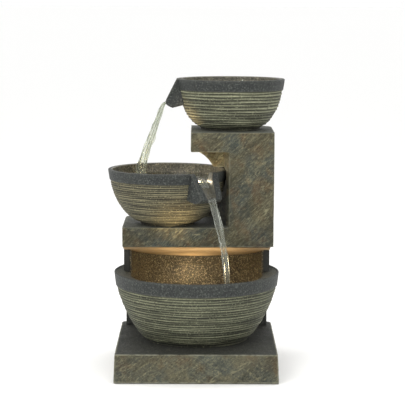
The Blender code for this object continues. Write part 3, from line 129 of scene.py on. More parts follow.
# grains: pale and dark specks of cast stone, with their height
def makeGrainGroup():
    numbers = {"Size": 300.0, "Pale": 0.6, "Dark": 0.42}
    group, given, out = shaderGroup("stone grains", numbers, ["Pale", "Dark", "Height"])
    fine = noiseOf(group, given["Vector"], given["Size"], 3.0, 0.65)
    cells = put(group, "ShaderNodeTexVoronoi", {"Vector": given["Vector"], "Scale": given["Size"]})
    chance = put(group, "ShaderNodeSeparateColor", {0: cells.outputs["Color"]})
    edge = between(group, cells.outputs["Distance"], 0.28, 0.5, 1.0, 0.0)
    speck = times(group, between(group, chance.outputs[0], 0.86, 0.9), edge)
    pale = between(group, fine, given["Pale"], plus(group, given["Pale"], grainBlend))
    feed(group, out["Pale"], reckon(group, "MAXIMUM", pale, speck))
    darkEnd = reckon(group, "SUBTRACT", given["Dark"], grainBlend)
    feed(group, out["Dark"], between(group, fine, given["Dark"], darkEnd))
    feed(group, out["Height"], plus(group, fine, speck))
    return group


# patches: broad soft stains
def makePatchGroup():
    group, given, out = shaderGroup("broad patches", {"Size": 20.0, "Share": 0.5}, ["Mask"])
    noise = noiseOf(group, given["Vector"], given["Size"], 4.0, 0.6, 0.5)
    low = reckon(group, "SUBTRACT", given["Share"], patchBlend)
    feed(group, out["Mask"], between(group, noise, low, plus(group, given["Share"], patchBlend)))
    return group


# clefts: long torn lines that run slantwise over split slate
def makeCleftGroup():
    numbers = {"Slant": 0.7, "Size": 60.0, "Thin": 0.03}
    group, given, out = shaderGroup("slate clefts", numbers, ["Lines", "Height"])
    along = stretch(group, turnAcross(group, given["Vector"], given["Slant"]), (0.2, 0.5, 1.0))
    noise = noiseOf(group, along, given["Size"], 5.0, 0.62, 0.35)
    off = reckon(group, "ABSOLUTE", reckon(group, "SUBTRACT", noise, 0.5))
    feed(group, out["Lines"], between(group, off, 0.0, given["Thin"], 1.0, 0.0))
    feed(group, out["Height"], noise)
    return group


# wear: a worn edge, broken up so that it isn't one even line
def makeWearGroup():
    group, given, out = shaderGroup("worn edges", {"Edge": 0.0, "Size": 90.0, "Amount": 1.0}, ["Mask"])
    broken = between(group, noiseOf(group, given["Vector"], given["Size"]), 0.3, 0.6)
    near = between(group, given["Edge"], 0.12, 0.5)
    feed(group, out["Mask"], times(group, times(group, near, broken), given["Amount"]))
    return group


# moulded: fine skin, scuffs and dust of a moulded or cast small part
def makeMouldedGroup():
    numbers = {"Size": 900.0, "Smooth": 0.4}
    group, given, out = shaderGroup("moulded skin", numbers, ["Height", "Roughness", "Dust"])
    feed(group, out["Height"], noiseOf(group, given["Vector"], given["Size"]))
    broad = noiseOf(group, given["Vector"], 70.0, 4.0)
    feed(group, out["Roughness"], plus(group, given["Smooth"], between(group, broad, 0.3, 0.7, -0.08, 0.12)))
    feed(group, out["Dust"], between(group, broad, 0.5, 0.75))
    return group


# strata: thin sub-lines that follow the ribs round a bowl
def makeStrataGroup():
    group, given, out = shaderGroup("thin strata", {"Size": 14.0}, ["Lines", "Height"])
    noise = noiseOf(group, stretch(group, given["Vector"], (1.0, 1.0, 34.0)), given["Size"], 3.0, 0.6)
    feed(group, out["Lines"], between(group, noise, 0.42, 0.62))
    feed(group, out["Height"], noise)
    return group


grainGroup, patchGroup, cleftGroup = makeGrainGroup(), makePatchGroup(), makeCleftGroup()
wearGroup, mouldedGroup, strataGroup = makeWearGroup(), makeMouldedGroup(), makeStrataGroup()


def use(tree, group, place, **numbers):
    return put(tree, "ShaderNodeGroup", {"Vector": place, **numbers}, node_tree=group).outputs


def attribute(tree, name):
    return put(tree, "ShaderNodeAttribute", attribute_name=name).outputs["Fac"]


def wornEdge(tree, place, size, amount):
    return use(tree, wearGroup, place, Edge=attribute(tree, "edge"), Size=size, Amount=amount)["Mask"]


def startMaterial(name):
    material = bpy.data.materials.new(name)
    material.use_nodes = True
    tree = material.node_tree
    tree.nodes.clear()
    shader = put(tree, "ShaderNodeBsdfPrincipled")
    put(tree, "ShaderNodeOutputMaterial", {"Surface": shader.outputs[0]})
    return material, tree, shader, put(tree, "ShaderNodeTexCoord").outputs["Object"]


def bumpFrom(tree, height, strength, distance):
    values = {"Height": height, "Strength": strength, "Distance": distance}
    return put(tree, "ShaderNodeBump", values).outputs[0]


# how far a face looks up, from -1 to 1
def upwards(tree):
    normal = put(tree, "ShaderNodeNewGeometry").outputs["Normal"]
    return put(tree, "ShaderNodeSeparateXYZ", {0: normal}).outputs[2]


# materials of the stone pieces
slateLook = {
    "olive": paint(78, 73, 50), "blueGrey": paint(62, 68, 60), "rust": paint(96, 70, 36),
    # top is the colour of faces that look up: painted light on the column's top
    "dark": paint(26, 25, 17), "cleft": paint(136, 132, 102), "top": paint(90, 92, 83),
    "worn": paint(132, 132, 114),
    "slant": 0.72, "crossSlant": 0.9, "grain": 400.0, "cleftSize": 55.0, "fineSize": 120.0, "relief": 0.0026,
}
plinthLook = dict(
    slateLook, olive=paint(88, 84, 62), blueGrey=paint(70, 74, 64), rust=paint(94, 74, 44),
    # the plinth's top is darker: painted shade on it under the bowls
    top=paint(42, 43, 37), crossSlant=-0.6,
)


def makeSlate(name, look):
    material, tree, shader, place = startMaterial(name)
    patches = use(tree, patchGroup, place, Size=16.0, Share=0.52)["Mask"]
    rusty = use(tree, patchGroup, place, Size=27.0, Share=0.6)["Mask"]
    along = stretch(tree, turnAcross(tree, place, look["slant"]), (0.38, 0.7, 1.0))
    grains = use(tree, grainGroup, along, Size=look["grain"], Pale=0.58, Dark=0.45)
    clefts = use(tree, cleftGroup, place, Slant=look["slant"], Size=look["cleftSize"], Thin=0.02)
    fineClefts = use(tree, cleftGroup, place, Slant=look["crossSlant"], Size=look["fineSize"], Thin=0.03)
    colour = tint(tree, patches, look["olive"], look["blueGrey"])
    colour = stain(tree, rusty, 0.75, colour, look["rust"])
    colour = stain(tree, between(tree, clefts["Height"], 0.35, 0.65), 0.25, colour, look["dark"])
    colour = tint(tree, between(tree, attribute(tree, "torn"), 0.25, 0.8, 0.0, 0.65), colour, look["cleft"])
    lines = times(tree, clefts["Lines"], between(tree, grains["Height"], 0.35, 0.75))
    colour = stain(tree, lines, 0.8, colour, look["cleft"])
    colour = stain(tree, fineClefts["Lines"], 0.34, colour, look["cleft"])
    # deeper torn layers are darkened towards the dark colour: painted shade in the recesses
    colour = tint(tree, between(tree, attribute(tree, "sunk"), 0.35, 1.0, 0.0, 0.55), colour, look["dark"])
    colour = stain(tree, grains["Dark"], 0.62, colour, look["dark"])
    colour = stain(tree, grains["Pale"], 0.27, colour, look["cleft"])
    # faces that look up take the top colour: painted light and shade set by how light falls on the tops
    up = between(tree, upwards(tree), 0.55, 0.8)
    paintedTopLightShade = stain(tree, grains["Pale"], 0.3, look["top"], look["worn"])
    paintedTopLightShade = stain(tree, grains["Dark"], 0.5, paintedTopLightShade, look["dark"])
    colour = tint(tree, up, colour, paintedTopLightShade)
    colour = tint(tree, wornEdge(tree, place, 70.0, 0.75), colour, look["worn"])
    relief = plus(tree, clefts["Height"], times(tree, grains["Height"], 0.35))
    give(tree, shader, {
        "Base Color": colour,
        "Roughness": between(tree, clefts["Height"], 0.3, 0.7, 0.62, 0.86),
        "Normal": bumpFrom(tree, relief, 1.0, look["relief"]),
    })
    return material


# three copies of one ribbed stone: the upper bowl's lighter, the lower's darker and the middle's warmer
# colours are painted light and shade
ribLooks = {
    "lower": {
        "body": paint(77, 80, 62), "other": paint(62, 64, 49), "paleAndCrestLight": paint(158, 160, 128),
        "darkAndGrooveShade": paint(25, 26, 18), "grain": 330.0,
    },
    "middle": {
        "body": paint(85, 83, 64), "other": paint(70, 70, 55), "paleAndCrestLight": paint(162, 154, 118),
        "darkAndGrooveShade": paint(30, 28, 20), "grain": 340.0,
    },
    "upper": {
        "body": paint(88, 90, 71), "other": paint(75, 77, 60), "paleAndCrestLight": paint(171, 173, 141),
        "darkAndGrooveShade": paint(30, 30, 22), "grain": 340.0,
    },
}


def makeRibStone(name, look):
    material, tree, shader, place = startMaterial(name)
    ridge = attribute(tree, "ridge")
    patches = use(tree, patchGroup, place, Size=26.0, Share=0.5)["Mask"]
    strata = use(tree, strataGroup, place, Size=15.0)
    grains = use(tree, grainGroup, place, Size=look["grain"], Pale=0.6, Dark=0.42)
    colour = tint(tree, patches, look["body"], look["other"])
    colour = stain(tree, strata["Lines"], 0.4, colour, look["paleAndCrestLight"])
    # grooves are painted dark and crests pale: painted shade under each rib and painted light on its top; the
    # same colours also tint the dark and pale grains and the strata
    colour = tint(tree, between(tree, ridge, 0.42, 0.08, 0.0, 0.92), colour, look["darkAndGrooveShade"])
    paleAndCrestLight = between(tree, ridge, 0.62, 0.95)
    paleAndCrestLight = times(tree, paleAndCrestLight, between(tree, grains["Height"], 0.35, 0.65, 0.3, 1.0))
    colour = tint(tree, paleAndCrestLight, colour, look["paleAndCrestLight"])
    colour = stain(tree, grains["Dark"], 0.6, colour, look["darkAndGrooveShade"])
    colour = stain(tree, grains["Pale"], 0.4, colour, look["paleAndCrestLight"])
    relief = plus(tree, strata["Height"], times(tree, grains["Height"], 0.4))
    give(tree, shader, {
        "Base Color": colour,
        "Roughness": between(tree, ridge, 0.0, 1.0, 0.85, 0.66),
        "Normal": bumpFrom(tree, relief, 0.6, 0.0012),
    })
    return material


# speckled cast stone; the other looks start from the bowls' bands
bandLook = {
    "body": paint(34, 38, 36), "other": paint(41, 45, 41), "pale": paint(96, 101, 95),
    "dark": paint(14, 16, 16), "worn": paint(75, 76, 69), "grain": 300.0, "smooth": 0.6, "wet": 0.0,
}
ledgeLook = dict(
    bandLook, body=paint(66, 68, 60), other=paint(76, 77, 68), pale=paint(104, 104, 92),
    dark=paint(42, 44, 38), grain=420.0, smooth=0.66,
)
# wet speckled stone of the basin wall, its colours warmed to gold: painted glow of the basin lamp
wetGlowLook = dict(
    bandLook, body=paint(74, 66, 46), other=paint(56, 50, 34), pale=paint(181, 165, 125),
    dark=paint(18, 14, 9), worn=paint(104, 91, 64), grain=360.0, smooth=0.58, wet=0.06,
)
# bowl insides, lighter and warmer than the band stone: painted lamp light on the inner walls
insideLook = dict(
    bandLook, body=paint(94, 90, 74), other=paint(72, 70, 58), pale=paint(160, 154, 130),
    dark=paint(40, 37, 29), worn=paint(116, 112, 96), smooth=0.4, wet=0.35,
)
housingLook = dict(
    bandLook, body=paint(34, 35, 31), other=paint(43, 44, 39), pale=paint(76, 78, 70),
    dark=paint(15, 15, 13), grain=320.0, smooth=0.62,
)
# channel stone, dark and wet like the band but lightened to gold: painted glow of lamp light through the
# water
channelLook = dict(bandLook, body=paint(74, 68, 48), other=paint(58, 56, 42), smooth=0.3, wet=0.5)


def makeBandStone(name, look):
    material, tree, shader, place = startMaterial(name)
    patches = use(tree, patchGroup, place, Size=34.0, Share=0.5)["Mask"]
    grains = use(tree, grainGroup, place, Size=look["grain"], Pale=0.56, Dark=0.46)
    colour = tint(tree, patches, look["body"], look["other"])
    colour = stain(tree, grains["Dark"], 0.85, colour, look["dark"])
    colour = stain(tree, grains["Pale"], 0.62, colour, look["pale"])
    colour = tint(tree, wornEdge(tree, place, 80.0, 0.8), colour, look["worn"])
    give(tree, shader, {
        "Base Color": colour,
        "Roughness": between(tree, grains["Height"], 0.3, 1.2, look["smooth"], look["smooth"] + 0.14),
        "Coat Weight": look["wet"],
        "Coat Roughness": 0.12,
        "Normal": bumpFrom(tree, grains["Height"], 0.9, 0.0018),
    })
    return material


slateMaterial = makeSlate("split slate", slateLook)
plinthMaterial = makeSlate("plinth slate", plinthLook)
ribMaterials = {key: makeRibStone(key + " ribs", look) for key, look in ribLooks.items()}
bandMaterial = makeBandStone("speckled band", bandLook)
ledgeMaterial = makeBandStone("ledge stone", ledgeLook)
wetGlowMaterial = makeBandStone("wet stone with painted lamp glow", wetGlowLook)
insideMaterial = makeBandStone("bowl inside", insideLook)
channelMaterial = makeBandStone("channel stone", channelLook)


# pale amber colours for the splash back's ceiling: painted lamp light, not the stone's own colour
paintedCeilingGlow = {"pale": paint(186, 160, 122), "other": paint(170, 142, 104), "dark": paint(130, 100, 66)}


# the splash back is dark stone; its faces that look down, the ceiling, are painted pale amber: painted lamp
# light from the basin lamp
def makeSplashStone():
    material, tree, shader, place = startMaterial("splash back stone")
    grains = use(tree, grainGroup, place, Size=430.0, Pale=0.6, Dark=0.42)
    patches = use(tree, patchGroup, place, Size=30.0, Share=0.5)["Mask"]
    stone = tint(tree, patches, housingLook["body"], housingLook["other"])
    stone = stain(tree, grains["Dark"], 0.6, stone, housingLook["dark"])
    stone = stain(tree, grains["Pale"], 0.35, stone, housingLook["pale"])
    # faces that look down take the pale amber tone: painted lamp light on the ceiling
    ceiling = tint(tree, patches, paintedCeilingGlow["pale"], paintedCeilingGlow["other"])
    ceiling = stain(tree, grains["Dark"], 0.3, ceiling, paintedCeilingGlow["dark"])
    give(tree, shader, {
        "Base Color": tint(tree, between(tree, upwards(tree), -0.5, -0.8), stone, ceiling),
        "Roughness": 0.72,
        "Normal": bumpFrom(tree, grains["Height"], 0.45, 0.0009),
    })
    return material


# materials of the fittings: body, dust, smoothness, size of the grain and its bump
fittingLooks = {
    "black_plastic": (paint(38, 39, 40), paint(82, 82, 78), 0.38, 1400.0, 0.25),
    "grey_plastic": (paint(132, 134, 134), paint(158, 156, 148), 0.42, 1400.0, 0.25),
    "rubber": (paint(34, 34, 34), paint(70, 68, 62), 0.72, 1000.0, 0.4),
    "ceramic": (paint(222, 218, 206), paint(198, 190, 172), 0.28, 1600.0, 0.15),
    "magnet": (paint(72, 74, 78), paint(96, 94, 90), 0.45, 1200.0, 0.3),
    "led_board": (paint(226, 220, 186), paint(196, 176, 110), 0.4, 1200.0, 0.2),
}


def makeFitting(name, body, dust, smooth, grain, bump):
    material, tree, shader, place = startMaterial(name.replace("_", " ") + " finish")
    skin = use(tree, mouldedGroup, place, Size=grain, Smooth=smooth)
    give(tree, shader, {
        "Base Color": stain(tree, skin["Dust"], 0.5, body, dust),
        "Roughness": skin["Roughness"],
        "Normal": bumpFrom(tree, skin["Height"], bump, 0.0003),
    })
    return material


def makeSteel():
    material, tree, shader, place = startMaterial("brushed steel finish")
    lines = noiseOf(tree, stretch(tree, place, (1.0, 1.0, 14.0)), 420.0)
    skin = use(tree, mouldedGroup, place, Size=900.0, Smooth=0.3)
    give(tree, shader, {
        "Base Color": tint(tree, skin["Dust"], paint(188, 188, 186), paint(150, 142, 130)),
        "Metallic": 1.0,
        "Roughness": between(tree, lines, 0.3, 0.7, 0.24, 0.42),
        "Normal": bumpFrom(tree, lines, 0.2, 0.0002),
    })
    return material


def makeFoam():
    material, tree, shader, place = startMaterial("open foam")
    pores = put(tree, "ShaderNodeTexVoronoi", {"Vector": place, "Scale": 650.0}).outputs["Distance"]
    skin = use(tree, mouldedGroup, place, Size=500.0, Smooth=0.9)
    # pores are darker than the struts: painted shade in the holes
    colour = tint(tree, between(tree, pores, 0.1, 0.5), paint(18, 19, 22), paint(58, 60, 66))
    give(tree, shader, {
        "Base Color": stain(tree, skin["Dust"], 0.4, colour, paint(84, 80, 66)),
        "Roughness": 0.95,
        "Normal": bumpFrom(tree, pores, 0.9, 0.0012),
    })
    return material


# clear parts: hose vinyl and lamp lens
def makeClear(name, body, smooth, through, glow):
    material, tree, shader, place = startMaterial(name)
    skin = use(tree, mouldedGroup, place, Size=300.0, Smooth=smooth)
    give(tree, shader, {
        "Base Color": stain(tree, skin["Dust"], 0.3, body, paint(206, 202, 182)),
        "Roughness": skin["Roughness"],
        "Transmission Weight": through,
        "IOR": 1.45,
        "Normal": bumpFrom(tree, skin["Height"], 0.15, 0.0004),
    })
    if glow:
        lit = tint(tree, skin["Dust"], paint(255, 206, 128), paint(255, 188, 100))
        give(tree, shader, {"Emission Color": lit, "Emission Strength": glow})
    return material


finishes = {key: makeFitting(key, *look) for key, look in fittingLooks.items()}
finishes.update(
    slate=slateMaterial,
    charcoal=makeBandStone("housing stone", housingLook),
    ribbed_stone=ribMaterials["lower"],
    wet_stone=wetGlowMaterial,
    steel=makeSteel(),
    foam=makeFoam(),
    clear_vinyl=makeClear("hose vinyl", paint(214, 220, 214), 0.2, 0.7, 0.0),
    clear_lens=makeClear("lamp lens", paint(236, 226, 196), 0.15, 0.6, 2.5),
)
splashStone = makeSplashStone()

slotOf = {part["node"]: part["material_slot"] for part in frame["record"]["subparts"]}
for nodeName, part in nodes.items():
    finish = splashStone if nodeName == "splash_back" else finishes[slotOf[nodeName]]
    if not part.material_slots:
        part.data.materials.append(None)
    for materialSlot in part.material_slots:
        materialSlot.material = finish
print("materials made:", len(bpy.data.materials))


# small helpers for meshes
def addPiece(name, mesh, materials, body=root):
    piece = looseObject(name, mesh, materials)
    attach(piece, body)
    return piece


def setValues(mesh, name, values):
    made = mesh.attributes.get(name) or mesh.attributes.new(name, "FLOAT", "POINT")
    made.data.foreach_set("value", np.asarray(values, np.float32))


def vectorsOf(items, key):
    values = np.empty(len(items) * 3, np.float32)
    items.foreach_get(key, values)
    return values.reshape(-1, 3).astype(float)


def pointsOf(mesh):
    return vectorsOf(mesh.vertices, "co")


def normalsOf(mesh):
    return vectorsOf(mesh.vertex_normals, "vector")


def movePoints(mesh, points):
    mesh.vertices.foreach_set("co", points.astype(np.float32).ravel())
    mesh.update()


# value noise on a lattice, from -1 to 1; grain is the size of one lump in metres
def lumps(points, grain, seed):
    spot = points / grain + 31.7 * seed
    cell = np.floor(spot).astype(np.int64)
    part = spot - cell
    part = part * part * (3 - 2 * part)
    total = np.zeros(len(points))
    for corner in np.ndindex(2, 2, 2):
        at = cell + np.array(corner)
        code = (at[:, 0] * 73856093) ^ (at[:, 1] * 19349663) ^ (at[:, 2] * 83492791)
        code = ((code & 0xFFFFFF) * 1103515245 + 12345) & 0x7FFFFFFF
        code = ((code ^ (code >> 13)) * 69069 + 7) & 0x7FFFFFFF
        weight = np.prod(np.where(corner, part, 1 - part), axis=1)
        total += weight * ((code >> 9) % 4096 / 2048 - 1)
    return total


def roughLumps(points, grain, octaves, seed):
    total, size, most = np.zeros(len(points)), 1.0, 0.0
    for octave in range(octaves):
        total += size * lumps(points, grain / 2**octave, seed + octave)
        most += size
        size *= 0.55
    return total / most


def neighbourMean(mesh, values):
    ends = np.empty(len(mesh.edges) * 2, np.int32)
    mesh.edges.foreach_get("vertices", ends)
    ends = ends.reshape(-1, 2)
    total = np.zeros_like(values)
    count = np.zeros(len(values))
    for here, there in ((0, 1), (1, 0)):
        np.add.at(total, ends[:, here], values[ends[:, there]])
        np.add.at(count, ends[:, here], 1)
    count = np.maximum(count, 1)
    return total / (count[:, None] if values.ndim > 1 else count)


# how strongly each point stands out as an outer edge
def edgeValues(mesh, spread):
    points, normals = pointsOf(mesh), normalsOf(mesh)
    lean = ((points - neighbourMean(mesh, points)) * normals).sum(axis=1)
    value = np.clip(lean / 0.0004, 0, 1)
    for _ in range(spread):
        value = 0.5 * value + 0.5 * neighbourMean(mesh, value)
    return value


def softenByAngle(mesh, degrees):
    bm = bmesh.new()
    bm.from_mesh(mesh)
    for face in bm.faces:
        face.smooth = True
    for edge in bm.edges:
        edge.smooth = not (len(edge.link_faces) == 2 and edge.calc_face_angle(0) > radians(degrees))
    bm.to_mesh(mesh)
    bm.free()


def meshFrom(name, points, faces, faceMaterials=None):
    mesh = bpy.data.meshes.new(name)
    mesh.from_pydata([tuple(p) for p in points], [], faces)
    if faceMaterials is not None:
        mesh.polygons.foreach_set("material_index", np.asarray(faceMaterials, np.int32))
    mesh.update()
    return mesh


def smoothAll(mesh):
    mesh.polygons.foreach_set("use_smooth", np.ones(len(mesh.polygons), bool))


def facesOutwards(mesh):
    bm = bmesh.new()
    bm.from_mesh(mesh)
    bmesh.ops.recalc_face_normals(bm, faces=bm.faces)
    bm.to_mesh(mesh)
    bm.free()


# gives back a plain mesh with the object's modifiers worked in
def settled(piece):
    graph = bpy.context.evaluated_depsgraph_get()
    return bpy.data.meshes.new_from_object(piece.evaluated_get(graph))


def looseObject(name, mesh, materials=()):
    made = bpy.data.objects.new(name, mesh)
    bpy.context.scene.collection.objects.link(made)
    for material in materials:
        mesh.materials.append(material)
    return made


# the same form again in small even faces
def evenFaces(name, mesh, size):
    rough = looseObject(name, mesh)
    step = rough.modifiers.new("even faces", "REMESH")
    step.mode, step.voxel_size, step.adaptivity = "VOXEL", size, 0.0
    even = settled(rough)
    bpy.data.objects.remove(rough)
    return even


def cutOrJoin(target, tool, operation):
    step = target.modifiers.new(operation, "BOOLEAN")
    step.operation, step.object, step.solver = operation, tool, "EXACT"
    mesh = settled(target)
    target.modifiers.clear()
    target.data = mesh
    bpy.data.objects.remove(tool)


# quads between rings of points that follow each other
def ringFaces(rings, sides):
    quads = []
    for i in range(rings - 1):
        for j in range(sides):
            k = (j + 1) % sides
            quads.append((i * sides + j, i * sides + k, (i + 1) * sides + k, (i + 1) * sides + j))
    return quads


# a turned solid: profile rows are (radius, height, material), the first and last on the axis
def turnedMesh(name, profile, sides, centre, shape=None):
    angles = np.arange(sides) * 2 * pi / sides
    rows = np.array([p[:2] for p in profile[1:-1]], float)
    radius = np.repeat(rows[:, :1], sides, axis=1)
    height = np.repeat(rows[:, 1:2], sides, axis=1)
    if shape:
        radius, height = shape(radius, height, angles)
    x, y = centre[0] + radius * np.cos(angles), centre[1] + radius * np.sin(angles)
    points = np.stack([x, y, height], axis=2).reshape(-1, 3)
    points = np.vstack([points, [*centre, profile[0][1]], [*centre, profile[-1][1]]])
    first, last = len(points) - 2, len(points) - 1
    faces, kinds = [], []
    for j in range(sides):
        k = (j + 1) % sides
        faces.append((first, k, j))
        kinds.append(profile[1][2])
        faces.append((last, (len(rows) - 1) * sides + j, (len(rows) - 1) * sides + k))
        kinds.append(profile[-1][2])
    faces += ringFaces(len(rows), sides)
    kinds += [row[2] for row in profile[2:-1] for _ in range(sides)]
    return meshFrom(name, points, faces, kinds)


# the split slate pieces: shelf and column, plinth, back panel
slatePieces = {
    "column_shell": {"grain": 0.0025, "depth": 0.0012, "slant": 0.72, "seed": 3, "material": slateMaterial},
    "base_plinth": {"grain": 0.0021, "depth": 0.0010, "slant": 0.5, "seed": 8, "material": plinthMaterial},
    "back_cover": {"grain": 0.0022, "depth": 0.0010, "slant": 0.72, "seed": 5, "material": slateMaterial},
}


tearing = {"size": 0.030, "layers": 4.2, "alongShare": 0.22, "deepShare": 0.5, "deepen": 0.16, "patch": 0.05}


# steps of torn layers: how deep each point lies and how near it is to the lip of a layer
def tornLayers(points, slant, seed):
    along = points[:, 0] * cos(slant) + points[:, 2] * sin(slant) + 0.6 * points[:, 1]
    across = -points[:, 0] * sin(slant) + points[:, 2] * cos(slant) + 0.3 * points[:, 1]
    layered = np.stack([along * tearing["alongShare"], across, points[:, 1] * tearing["deepShare"]], axis=1)
    field = tearing["layers"] * roughLumps(layered, tearing["size"], 4, seed)
    step = field - np.floor(field)
    lip = np.clip((step - 0.80) / 0.12, 0, 1) * np.clip((1.0 - step) / 0.05, 0, 1)
    level = np.floor(field) + np.clip((step - 0.82) / 0.18, 0, 1)
    shown = np.clip(0.5 + 1.4 * lumps(points, tearing["patch"], seed + 20), 0, 1)
    return np.clip(0.5 - tearing["deepen"] * level, 0, 1), lip * shown


leastInset = 0.0001  # keeps every face inside the frame's own


def makeSlatePiece(nodeName, plan):
    mesh = evenFaces(nodeName + " rough", nodes[nodeName].data.copy(), plan["grain"])
    edges = edgeValues(mesh, 2)
    points, normals = pointsOf(mesh), normalsOf(mesh)
    sunk, lips = tornLayers(points, plan["slant"], plan["seed"])
    upright = np.clip(1.4 - 1.6 * np.abs(normals[:, 2]), 0.25, 1)
    chips = np.clip(roughLumps(points, 0.012, 3, plan["seed"] + 9), 0, 1)
    inward = plan["depth"] * (upright * sunk + 0.9 * edges * (0.4 + 1.6 * chips)) + leastInset
    for _ in range(2):
        normals = neighbourMean(mesh, normals)
    normals /= np.maximum(np.linalg.norm(normals, axis=1, keepdims=True), 1e-6)
    movePoints(mesh, points - normals * inward[:, None])
    setValues(mesh, "torn", lips * upright)
    setValues(mesh, "sunk", sunk * upright)
    setValues(mesh, "edge", edges)
    smoothAll(mesh)
    mesh.materials.clear()
    piece = addPiece(nodeName + "_stone", mesh, [plan["material"]])
    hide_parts(nodeName)
    print("slate:", nodeName, len(mesh.polygons))


for nodeName, plan in slatePieces.items():
    makeSlatePiece(nodeName, plan)


# the bowls
bowlPlans = {
    "lower": {
        "centre": (0.0, 0.0), "rim": 0.1725, "foot": 0.112, "base": 0.0608, "height": 0.142, "band": 0.028,
        "curve": 1.3, "ridges": 21, "relief": 0.0014, "sway": 0.09, "sides": 300, "pitch": 0.0009, "seed": 11,
    },
    "middle": {
        "centre": (-0.061, 0.028), "rim": 0.1255, "foot": 0.060, "base": 0.2983, "height": 0.116,
        "band": 0.022, "curve": 1.6, "ridges": 25, "relief": 0.0011, "sway": 0.10, "sides": 260,
        "pitch": 0.0007, "seed": 23,
        "spout": radians(-52), "spoutHalf": 0.034, "spoutTipHalf": 0.028,
    },
    "upper": {
        "centre": (0.070, 0.065), "rim": 0.1145, "foot": 0.066, "base": 0.4953, "height": 0.106,
        "band": 0.023, "curve": 1.6, "ridges": 14, "relief": 0.0018, "sway": 0.08, "sides": 260,
        "pitch": 0.0009, "seed": 37,
        "spout": radians(180), "spoutHalf": 0.034, "spoutTipHalf": 0.028,
    },
}
bowlWall, bandSlope, bandProud, footRing = 0.009, 0.0045, 0.0015, 0.006
rimRound, innerRound, bandStep, footInset, footFlat = 0.0016, 0.0018, 0.0007, 0.004, 0.012
grooveShare = 0.26  # of the way from one crest to the next
shrink = 0.0003  # keeps the round form inside the frame's own facets


# a bowl's side from foot to rim as (radius, height) rows, evenly spaced along the curve
def sideRows(foot, rim, low, high, curve, pitch):
    turn = np.linspace(0, pi / 2, 400)
    radius = foot + (rim - foot) * np.sin(turn) ** (2 / curve)
    height = high - (high - low) * np.clip(np.cos(turn), 0, 1) ** (2 / curve)
    run = np.concatenate([[0], np.cumsum(np.hypot(np.diff(radius), np.diff(height)))])
    count = max(8, int(run[-1] / pitch))
    at = np.linspace(0, run[-1], count)
    return np.interp(at, run, radius), np.interp(at, run, height), run[-1]


# how far each point stands out between the grooves: 0 in a groove, 1 on a crest
def ridgeValues(below, angles, length, plan):
    rng = np.random.default_rng(plan["seed"])
    count = plan["ridges"]
    pitch = length / count
    turns = np.arange(1, 8)
    lines, strengths = [], []
    for k in range(-1, count + 2):
        phase = rng.uniform(0, 2 * pi, (2, len(turns)))
        size = rng.normal(0, 1, (2, len(turns))) / turns**0.6
        wave = (size[0] * np.sin(np.outer(angles, turns) + phase[0])).sum(axis=1)
        fade = (size[1] * np.sin(np.outer(angles, turns) + phase[1])).sum(axis=1)
        lines.append((k + 0.5 + rng.uniform(-0.16, 0.16) + plan["sway"] * wave) * pitch)
        strengths.append(np.clip(0.78 + 0.22 * fade, 0.3, 1))
    lines, strengths = np.sort(np.array(lines), axis=0), np.array(strengths)
    place = np.clip((lines <= below).sum(axis=0) - 1, 0, len(lines) - 2)
    spot = np.arange(below.size)
    low, high = lines[place, spot], lines[place + 1, spot]
    part = np.clip((below - low) / np.maximum(high - low, 0.2 * pitch), 0, 1)
    under, over = strengths[place, spot], strengths[place + 1, spot]
    fall = np.clip(1 - part / grooveShare, 0, 1)
    rise = np.clip((part - grooveShare) / (1 - grooveShare), 0, 1)
    return under * fall * fall * (3 - 2 * fall) + over * rise**1.5


# adds the groove and edge values that the stone materials read
def markBowl(mesh, plan, sideRun):
    points = pointsOf(mesh)
    heights, run, length = sideRun
    below = np.interp(points[:, 2], heights, length - run)
    angles = np.arctan2(points[:, 1] - plan["centre"][1], points[:, 0] - plan["centre"][0])
    setValues(mesh, "ridge", ridgeValues(below, angles, length, plan))
    setValues(mesh, "edge", edgeValues(mesh, 1))


# rows of a quarter round; a negative width turns it inwards
def roundRows(out, up, width, height, turns, kind):
    return [(out + width * cos(radians(turn)), up + height * sin(radians(turn)), kind) for turn in turns]


def bowlOutside(plan):
    base, top = plan["base"], plan["base"] + plan["height"]
    rim, foot, bodyTop = plan["rim"] - shrink, plan["foot"], base + plan["height"] - plan["band"]
    low, high = base + footRing, bodyTop
    radius, height, length = sideRows(foot, rim - bandSlope, low, high, plan["curve"], plan["pitch"])
    run = np.linspace(0, length, len(radius))
    rows = [(0, base, 0), (foot - footFlat, base, 0)]
    rows += [(foot - footInset, base, 0), (foot - footInset, base + 0.003, 0)]
    ribbedFrom = len(rows) - 1
    rows += [(r, z, 0) for r, z in zip(radius, height)]
    ribbedTo = len(rows) - 1
    lowBand = rim - bandSlope + bandProud
    rows += [(lowBand - 0.0004, bodyTop + 0.0002, 1), (lowBand, bodyTop + bandStep, 1)]
    for k in range(1, 10):
        share = k / 10
        up = bodyTop + bandStep + (plan["band"] - 0.0030) * share
        rows.append((lowBand + (rim - lowBand) * share, up, 1))
    rows += roundRows(rim - rimRound, top - rimRound, rimRound, rimRound, (0, 22, 45, 68, 90), 1)

    def shape(allRadius, allHeight, angles):
        inside = slice(ribbedFrom, ribbedTo)
        below = np.repeat((length - run)[:, None], len(angles), axis=1).ravel()
        around = np.tile(angles, len(run))
        value = ridgeValues(below, around, length, plan).reshape(len(run), -1)
        fade = np.clip(run / 0.004, 0, 1)[:, None]
        sunk = plan["relief"] * (1 - value) * fade
        slopeR, slopeZ = np.gradient(radius), np.gradient(height)
        size = np.hypot(slopeR, slopeZ)
        allRadius[inside] -= sunk * (slopeZ / size)[:, None]
        allHeight[inside] += sunk * (slopeR / size)[:, None]
        return allRadius, allHeight

    return rows, shape, (height, run, length)


